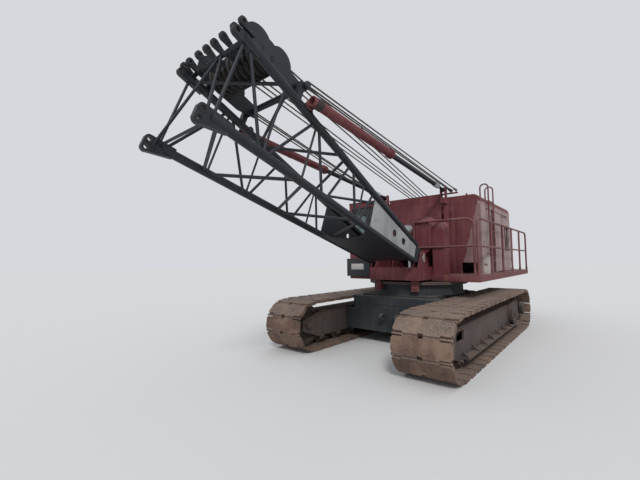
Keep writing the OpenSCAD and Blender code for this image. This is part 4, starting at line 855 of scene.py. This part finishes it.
# Hoist drum: a cast drum between two frames of welded plate, still wound with two layers of
# greased wire rope. Its shaft turns in bearings with bolted caps.
coat(maroon, "drum_frames", "drum_guards", "gantry")
rope_wire = finish_with(
    "greased wire rope", rusting, bump=0.001, Steel=(0.13, 0.12, 0.115, 1), Rust=(0.055, 0.042, 0.034, 1),
    Dark=(0.02, 0.018, 0.017, 1), Polish=0.5, Dusting=0.25)
drum_x, drum_z, rope_pitch, per_turn = -0.26, 1.95, 0.0252, 24
wound = bmesh.new()
for start_y, radius, turns in ((-0.39, 0.2225, 31), (-0.377, 0.2445, 30)):
    one = bmesh.new()
    bmesh.ops.create_circle(one, segments=8, radius=0.0125, matrix=Matrix.Translation(spot(
        drum_x + radius, start_y, drum_z)) @ Matrix.Rotation(math.radians(90), 4, "X"))
    bmesh.ops.spin(one, geom=one.verts[:] + one.edges[:], cent=spot(drum_x, 0, drum_z), axis=(0, 1, 0),
                   dvec=(0, rope_pitch / per_turn, 0), angle=math.tau * turns, steps=turns * per_turn,
                   use_merge=False)
    bmesh.ops.holes_fill(one, edges=[edge for edge in one.edges if edge.is_boundary])
    weld_in(wound, one)
piece("drum_rope", wound, rope_wire, "hoist_drum", 60)
caps = bmesh.new()
for way in (-1, 1):
    for k in range(8):
        angle = math.tau * k / 8
        at = spot(drum_x + 0.1 * math.cos(angle), way * 0.49, drum_z + 0.1 * math.sin(angle))
        head(caps, at, (0, way, 0), 0.014, 0.013)
    turning(caps, spot(drum_x, way * 0.49, drum_z), (0, way, 0), [(0.052, 0.02), (0.07, 0.02), (0.075, 0)], 28)
piece("drum_bearing_caps", caps, maroon, "upperworks")

# Hoods in front of the drum: rolled sheet steel in maroon with a folded lip. Riveted strips lie
# over the joints between the sheets.
lips = bmesh.new()
for y, low in ((0.22, 1.3), (0.352, 1.3), (0.555, 1.34), (0.745, 1.34)):
    seam(lips, (0.45, y, low), (0.45, y, low + 0.4), (1, 0, 0), 0.024, 0.003, 0.1)
seam(lips, (0.45, 0.16, 1.88), (0.45, 0.485, 1.88), (1, 0, 0), 0.03, 0.003, 0.1)
piece("hood_seams", lips, maroon, "upperworks")

# Gantry: a welded head on two posts, let down on the decks, with bolted bearing plates for its
# sheaves' shaft and the outer lines' anchor pins.
anchor, anchor_ys = spot(-0.038, 0, 3.015), (0.755, 0.785, 0.87)
pegs = bmesh.new()
for way in (-1, 1):
    studs(pegs, (0.045,), [way * y for y in (0.1, 0.3, 0.5)], (2.83, 2.92), (1, 0, 0), 0.015, 0.013)
    turning(pegs, spot(-0.23, way * 0.285, 2.84), (0, way, 0),
            [(0, 0.016), (0.036, 0.016), (0.04, 0.01), (0.04, 0)], 20)
    for y in anchor_ys:
        pin = [anchor + Vector((0, way * (y + step), 0)) for step in (-0.014, 0.014)]
        pipe(pegs, *pin, 0.0108, 14)
        for end, step in zip(pin, (-1, 1)):
            head(pegs, end, (0, step, 0), 0.0145, 0.005, 12)
    # foot plate of the post, and the head's front bolts
    slab(pegs, (-0.075, way * 0.665 - 0.05, 1.31), (0.06, way * 0.665 + 0.05, 1.322), 0.003)
    studs(pegs, (-0.064, 0.05), [way * 0.665 + step for step in (-0.036, 0.036)], (1.322,), (0, 0, 1), 0.009, 0.009)
    studs(pegs, (0.057,), [way * (0.14 + 0.13 * k) for k in range(4)], (2.2,), (1, 0, 0), 0.01, 0.008)
piece("gantry_pins", pegs, maroon, "upperworks")
sheave_steel = finish_with(
    "sheave steel", rusting, bump=0.0015, Steel=(0.06, 0.06, 0.062, 1), Rust=(0.04, 0.03, 0.026, 1),
    Dark=(0.014, 0.014, 0.015, 1), Polish=0.45, Dusting=0.15)
coat(sheave_steel, "bridle_sheaves", "gantry_sheaves")

# Work lamp: a round sheet housing on a grey post, with a clear lens in a rolled rim and its wire
# in a thin conduit down the post.
lamp_grey = finish_with("lamp post paint", weathering, Paint=(0.27, 0.3, 0.32, 1), Chalk=(0.5, 0.52, 0.53, 1),
                        Chalking=0.5, Rusting=0.3, Dusting=0.3)
coat(lamp_grey, "lamp_post")
lens_glass, tree, shader = plain("lamp lens")
node, calc, times, plus, ramp, mix = tools_for(tree)
shader.inputs["Transmission Weight"].default_value = 0.4
ripple = node("TexWave", Vector=node("TexCoord").outputs["Object"], Scale=30).outputs["Fac"]
tree.links.new(mix(ripple, (0.5, 0.53, 0.55, 1), (0.75, 0.78, 0.8, 1)), shader.inputs["Base Color"])
tree.links.new(times(ripple, 0.3), shader.inputs["Roughness"])
lamp = bmesh.new()
mouth, lamp_y = spot(0.605, 0.08, 2.235), 0.08
turning(lamp, mouth, (1, 0, 0), hoop(0.071, 0.007), 36)
turning(lamp, mouth - Vector((0.1, 0, 0)), (-1, 0, 0), [(0, 0.03), (0.03, 0.028), (0.055, 0.015), (0.07, 0)], 32)
pipe(lamp, spot(0.494, lamp_y, 1.27), spot(0.494, lamp_y, 2.17), 0.006, 8)
for z in (1.5, 1.8, 2.1):
    slab(lamp, (0.488, lamp_y - 0.014, z), (0.5005, lamp_y + 0.014, z + 0.012), 0.002)
for way in (-1, 1):
    head(lamp, spot(0.52, lamp_y + way * 0.024, 2.19), (0, way, 0), 0.011, 0.008)
piece("lamp_rim", lamp, lamp_grey, "upperworks")
disc = bmesh.new()
turning(disc, mouth, (1, 0, 0), [(0, 0.012), (0.02, 0.0115), (0.045, 0.008), (0.064, 0.002), (0.066, 0)], 32)
piece("lamp_lens", disc, lens_glass, "upperworks")

# Boom butt: round tubes welded into a tapered box, black paint over a bead of weld at each joint.
# The web plates at the foot are worn down to grey.
boom_rise, foot_pin, butt = math.radians(21.2), spot(0.85, 0, 1.64), 4.59
lift = Matrix.Translation(foot_pin) @ Matrix.Rotation(-boom_rise, 4, "Y")


def on_boom(s, y, u):
    """A point of the boom: s along it from the foot pins, u square to it, both in metres."""
    return lift @ Vector((s, y, u))


black = dict(Paint=(0.009, 0.012, 0.018, 1), Chalk=(0.026, 0.031, 0.041, 1), Dust=(0.14, 0.13, 0.12, 1),
             Rust=(0.07, 0.035, 0.025, 1), Chalking=0.3, Rusting=0.2, Dusting=0.15, Gloss=0.8, Running=0.1)
boom_paint = finish_with("boom paint", weathering, **black)
coat(boom_paint, "boom_top_lacing", "boom_belly_lacing", "boom_belly_plate", "boom_bridle", "stop_rods")
side_paint = finish_with("boom side paint", weathering, **black)
tree = side_paint.node_tree
node, calc, times, plus, ramp, mix = tools_for(tree)
painted = find(tree, "Group")
grey = tree.nodes.new("ShaderNodeGroup")
grey.node_tree = weathering
for label, value in (("Paint", (0.19, 0.205, 0.205, 1)), ("Chalk", (0.34, 0.35, 0.345, 1)),
                     ("Rust", (0.12, 0.09, 0.08, 1)), ("Chalking", 0.5), ("Rusting", 0.22), ("Dusting", 0.2),
                     ("Running", 0.15)):
    grey.inputs[label].default_value = value
# the mask is the web plate's tapered outline, in measures along and square to the boom
plate_start, plate_end, plate_half, plate_spread, soft_edge = 0.3, 1.87, 0.092, 0.0763, 0.006
square = node("Mapping", vector_type="TEXTURE", Vector=node("TexCoord").outputs["Object"], Location=foot_pin,
              Rotation=(0, -boom_rise, 0)).outputs[0]
along, across, up = node("SeparateXYZ", Vector=square).outputs
inside = calc("SUBTRACT", plus(plate_half, times(along, plate_spread)), calc("ABSOLUTE", up))
web = times(ramp(inside, 0, soft_edge), ramp(along, plate_end, plate_end - 0.01))
web = times(web, ramp(along, plate_start, plate_start + soft_edge))
facing = node("SeparateXYZ", Vector=node("NewGeometry").outputs["Normal"]).outputs["Y"]
web = times(web, ramp(times(facing, calc("SIGN", across)), 0.4, 0.5))
tree.links.new(mix(web, painted.outputs["Color"], grey.outputs["Color"]),
               tree.nodes["Principled BSDF"].inputs["Base Color"])
coat(side_paint, "boom_side_left", "boom_side_right")
bare = finish_with("bare pin steel", rusting, bump=0.001, Steel=(0.4, 0.4, 0.4, 1), Rust=(0.2, 0.13, 0.1, 1),
                   Dark=(0.1, 0.09, 0.085, 1), Polish=0.9, Dusting=0.15)
coat(bare, "boom_foot_pins")


chord_radius = 0.0515


def chord(side, level, s):
    """A point of a chord's centre line, in the boom's own measures."""
    return Vector((s, side * (0.45 + 0.078 * s / butt), level * (0.14 + 0.35 * s / butt)))


def bead(bm, start, end, radius, side, level):
    """A weld bead round the end of a tube, laid on the chord that it starts from."""
    towards = (end - start).normalized()
    base = chord(side, level, 0)
    along = (chord(side, level, butt) - base).normalized()
    part = bmesh.new()
    turning(part, start, towards, hoop(radius, 0.005, 6), 18)
    for vertex in part.verts:
        # slide each point along the tube until it lies on the chord
        off = vertex.co - start
        flat = start + off - towards * off.dot(towards) - base
        flat -= along * flat.dot(along)
        step = towards - along * towards.dot(along)
        a, b, c = step.dot(step), 2 * flat.dot(step), flat.dot(flat) - chord_radius ** 2
        vertex.co += towards * (-b + math.sqrt(max(b * b - 4 * a * c, 0))) / (2 * a)
    weld_in(bm, part)


# the side lacing's nodes, back from the tip, and how far short of a node a lace ends
nodes_back, tip_gap, gap = (0, 0.6, 1.19, 1.62, 2.02, 2.38, 2.7), 0.06, 0.042
web_face, web_half = 0.4679, 0.008
for label, side in (("left", 1), ("right", -1)):
    welds = bmesh.new()
    for k in range(6):
        near, far = (side, -side) if k % 2 == 0 else (-side, side)
        a = chord(side, near, butt - nodes_back[k] - (gap if k else tip_gap))
        b = chord(side, far, butt - nodes_back[k + 1] + gap)
        bead(welds, a, b, 0.018, side, near)
        bead(welds, b, a, 0.018, side, far)
    for back, radius in ((0, 0.016), (0.6, 0.014), (1.19, 0.014), (2.38, 0.014)):
        a, b = chord(side, 1, butt - back), chord(side, -1, butt - back)
        bead(welds, a, b, radius, side, 1)
        bead(welds, b, a, radius, side, -1)
    for level in (1, -1):
        for k in range(5):
            start_side = -level if k % 2 == 0 else level
            a = chord(start_side, level, butt - k * 0.6 - (gap if k else tip_gap))
            b = chord(-start_side, level, butt - (k + 1) * 0.6 + gap)
            bead(welds, *((a, b) if start_side == side else (b, a)), 0.021, side, level)
        # weld along the web plate's edges, on both faces
        for y in (web_face + web_half, web_face - web_half):
            a = chord(side, level, 0.47) - Vector((0, 0, level * 0.05))
            b = chord(side, level, 1.84) - Vector((0, 0, level * 0.044))
            a.y = b.y = side * y
            pipe(welds, a, b, 0.005, 6)
    bead(welds, chord(side, -1, butt), chord(-side, -1, butt), 0.016, side, -1)
    # rings round the web's two holes
    for s, face in itertools.product((0.78, 1.12), (1, -1)):
        turning(welds, Vector((s, side * (web_face + face * web_half), 0)), (0, face, 0),
                [(0.05, 0), (0.05, 0.004), (0.06, 0.004), (0.062, 0)], 28)
    bmesh.ops.transform(welds, matrix=lift, verts=welds.verts)
    piece(f"boom_welds_{label}", welds, boom_paint, "boom")
# keepers of the foot pins
keepers = bmesh.new()
for way in (-1, 1):
    slab(keepers, (0.82, way * 0.526 - 0.006, 1.56), (0.88, way * 0.526 + 0.006, 1.72), 0.003)
    studs(keepers, (0.85,), (way * 0.532,), (1.585, 1.695), (0, way, 0), 0.012, 0.01)
    turning(keepers, foot_pin + Vector((0, way * 0.532, 0)), (0, way, 0), [(0, 0.014), (0.006, 0.012), (0.008, 0)], 10)
piece("foot_pin_keepers", keepers, bare, "boom")

# Bridle: plates and beams lying on the boom's tip that carry the boom hoist's sheaves. Nuts hold
# the sheaves' shaft, and each pendant eye has a worn boss.
line_ys = (0.48, 0.52, 0.575)
fitted = bmesh.new()
for way in (-1, 1):
    shaft_end = Vector((4.27, way * 0.442, 0.69))
    turning(fitted, shaft_end, (0, way, 0), [(0.0385, 0), (0.075, 0), (0.078, 0.003), (0.074, 0.01), (0.04, 0.01)], 28)
    turning(fitted, shaft_end + Vector((0, way * 0.013, 0)), (0, way, 0),
            [(0, 0.02), (0.036, 0.02), (0.044, 0.012), (0.044, 0)], 6)
    for y in (0.075, 0.235, 0.43, 0.56):
        for face in (-1, 1):
            turning(fitted, Vector((4.69, way * y + face * 0.017, 0.59)), (0, face, 0),
                    [(0.0185, 0), (0.0185, 0.005), (0.034, 0.005), (0.037, 0)], 24)
        turning(fitted, Vector((4.56, way * y, 0.57)), (0, 1, 0),
                [(0.0262, -0.024), (0.031, -0.019), (0.031, 0.019), (0.0262, 0.024)], 20)
    for s, u in ((4.345, 0.62), (4.37, 0.62), (3.79, 0.665), (3.815, 0.665)):
        head(fitted, Vector((s, way * 0.442, u)), (0, way, 0), 0.013, 0.012)
    # thimble clamps of the outer lines round the rear beam
    for y in line_ys:
        turning(fitted, Vector((3.76, way * y, 0.66)), (0, 1, 0),
                [(0.0402, -0.014), (0.048, -0.014), (0.05, 0), (0.048, 0.014), (0.0402, 0.014)], 24)
    turning(fitted, Vector((3.76, way * 0.59, 0.66)), (0, way, 0), [(0, 0.006), (0.036, 0.006), (0.04, 0)], 24)
    for u, face in itertools.product((0.475, -0.475, -0.575), (-1, 1)):
        turning(fitted, Vector((4.7, way * 0.528 + face * 0.03, u)), (0, face, 0),
                [(0.0265, 0), (0.0265, 0.004), (0.042, 0.004), (0.044, 0)], 28)
bmesh.ops.transform(fitted, matrix=lift, verts=fitted.verts)
piece("bridle_fittings", fitted, boom_paint, "boom")

# Boom stops: a maroon tube hinged to each side of the boom and a black rod that slides in it. The
# tube's mouth has a clamped gland, and a worn grey sleeve guides the rod by the gantry's fork.
coat(maroon, "stop_tubes")
hinge, eye_pin, stop_y = on_boom(3.64, 0, 0.4701), spot(0.1, 0, 3.03), 0.66
reach, slope = (hinge - eye_pin).length, (hinge - eye_pin).normalized()
gland, sleeve, knuckle = bmesh.new(), bmesh.new(), bmesh.new()
for way in (-1, 1):
    aside = Vector((0, way * stop_y, 0))
    tube_mouth = eye_pin + slope * (reach - 1.78) + aside
    turning(gland, tube_mouth, -slope, [
        (0.0462, 0.001), (0.0462, 0.02), (0.066, 0.02), (0.07, 0.014), (0.074, 0.002), (0.074, -0.002)], 32)
    bolt_circle(gland, tube_mouth - slope * 0.002, -slope, 0.061, 8, 0.008)
    turning(gland, eye_pin + slope * (reach - 0.9) + aside, slope,
            [(0.06, -0.02), (0.064, -0.018), (0.064, 0.018), (0.06, 0.02)], 32)
    turning(sleeve, eye_pin + slope * 0.33 + aside, slope,
            [(0.0425, -0.03), (0.05, -0.028), (0.05, 0.16), (0.0425, 0.165)], 28)
    # forged ring round the tube's end at its hinge on the boom, with the bore left open for the rod
    turning(knuckle, hinge + aside, slope, [
        (0.0602, -0.1), (0.064, -0.095), (0.064, 0), (0.061, 0.014), (0.053, 0.022), (0.0465, 0.014),
        (0.0465, -0.002)], 28)
    for k in range(3):
        turning(sleeve, eye_pin + slope * (0.35 + k * 0.06) + aside, slope,
                [(0.05, -0.006), (0.053, 0), (0.05, 0.006)], 28)
piece("stop_glands", gland, maroon, "stop_tubes")
piece("stop_knuckles", knuckle, sheave_steel, "stop_tubes")
piece("stop_sleeves", sleeve, lamp_grey, "stop_rods")

# Boom hoist ropes: six strands laid round a core, black with old grease. The inner ones run from
# the gantry's sheaves to the bridle's, and the outer ones are anchored on the gantry's head.
coat(rope_wire, "hoist_ropes")
sheave_top, bridle_top, rear_beam = spot(-0.23, 0, 2.991), on_boom(4.21, 0, 0.865), on_boom(3.76, 0, 0.66)
course = (rear_beam - anchor).normalized()
rear_beam += Vector((-course.z, 0, course.x)) * 0.0513
rope_r, hollow, stride = 0.0108, 0.78, 0.017


def strung(start, end, near, far):
    """A rope on either side from near beside one point to far beside another."""
    return [(start + Vector((0, way * near, 0)), end + Vector((0, way * far, 0))) for way in (-1, 1)]


def laid_rope(bm, start, end):
    """One rope: a ring with six lobes, turned as it is drawn out from start to end."""
    count = round((end - start).length / stride)
    way_on = (end - start).normalized()
    one = bmesh.new()
    ring = bmesh.ops.create_circle(one, segments=12, radius=rope_r, matrix=turned(start, way_on))["verts"]
    for vertex in ring[1::2]:
        vertex.co = start + (vertex.co - start) * hollow
    bmesh.ops.spin(one, geom=one.verts[:] + one.edges[:], cent=start, axis=way_on, dvec=(end - start) / count,
                   angle=math.radians(30) * count, steps=count, use_merge=False)
    bmesh.ops.holes_fill(one, edges=[edge for edge in one.edges if edge.is_boundary])
    weld_in(bm, one)


reeving, anchored = [], []
for near, far in ((0.04, 0.135), (0.12, 0.225), (0.2, 0.315)):
    reeving += strung(sheave_top, bridle_top, near, far)
for near, far in zip(anchor_ys, line_ys):
    anchored += [(a + (b - a).normalized() * 0.022, b) for a, b in strung(anchor, rear_beam, near, far)]
# the laid ropes ride on no body: they stay where they are drawn, from the gantry to the boom as it stands
for name, ropes, near, far in (("laid_hoist_ropes", reeving, sheave_top, bridle_top),
                               ("laid_anchor_ropes", anchored, anchor, rear_beam)):
    strands = bmesh.new()
    for start, end in ropes:
        laid_rope(strands, start, end)
    laid = piece(name, strands, rope_wire, None, 60)
    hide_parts("hoist_ropes")
    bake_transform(laid)
sockets = bmesh.new()
for a, b in anchored:
    turning(sockets, a, (b - a).normalized(),
            [(0, 0), (0.017, 0), (0.02, 0.01), (0.017, 0.09), (0.0125, 0.11), (0.011, 0.112)], 16)
piece("rope_sockets", sockets, sheave_steel, "upperworks")
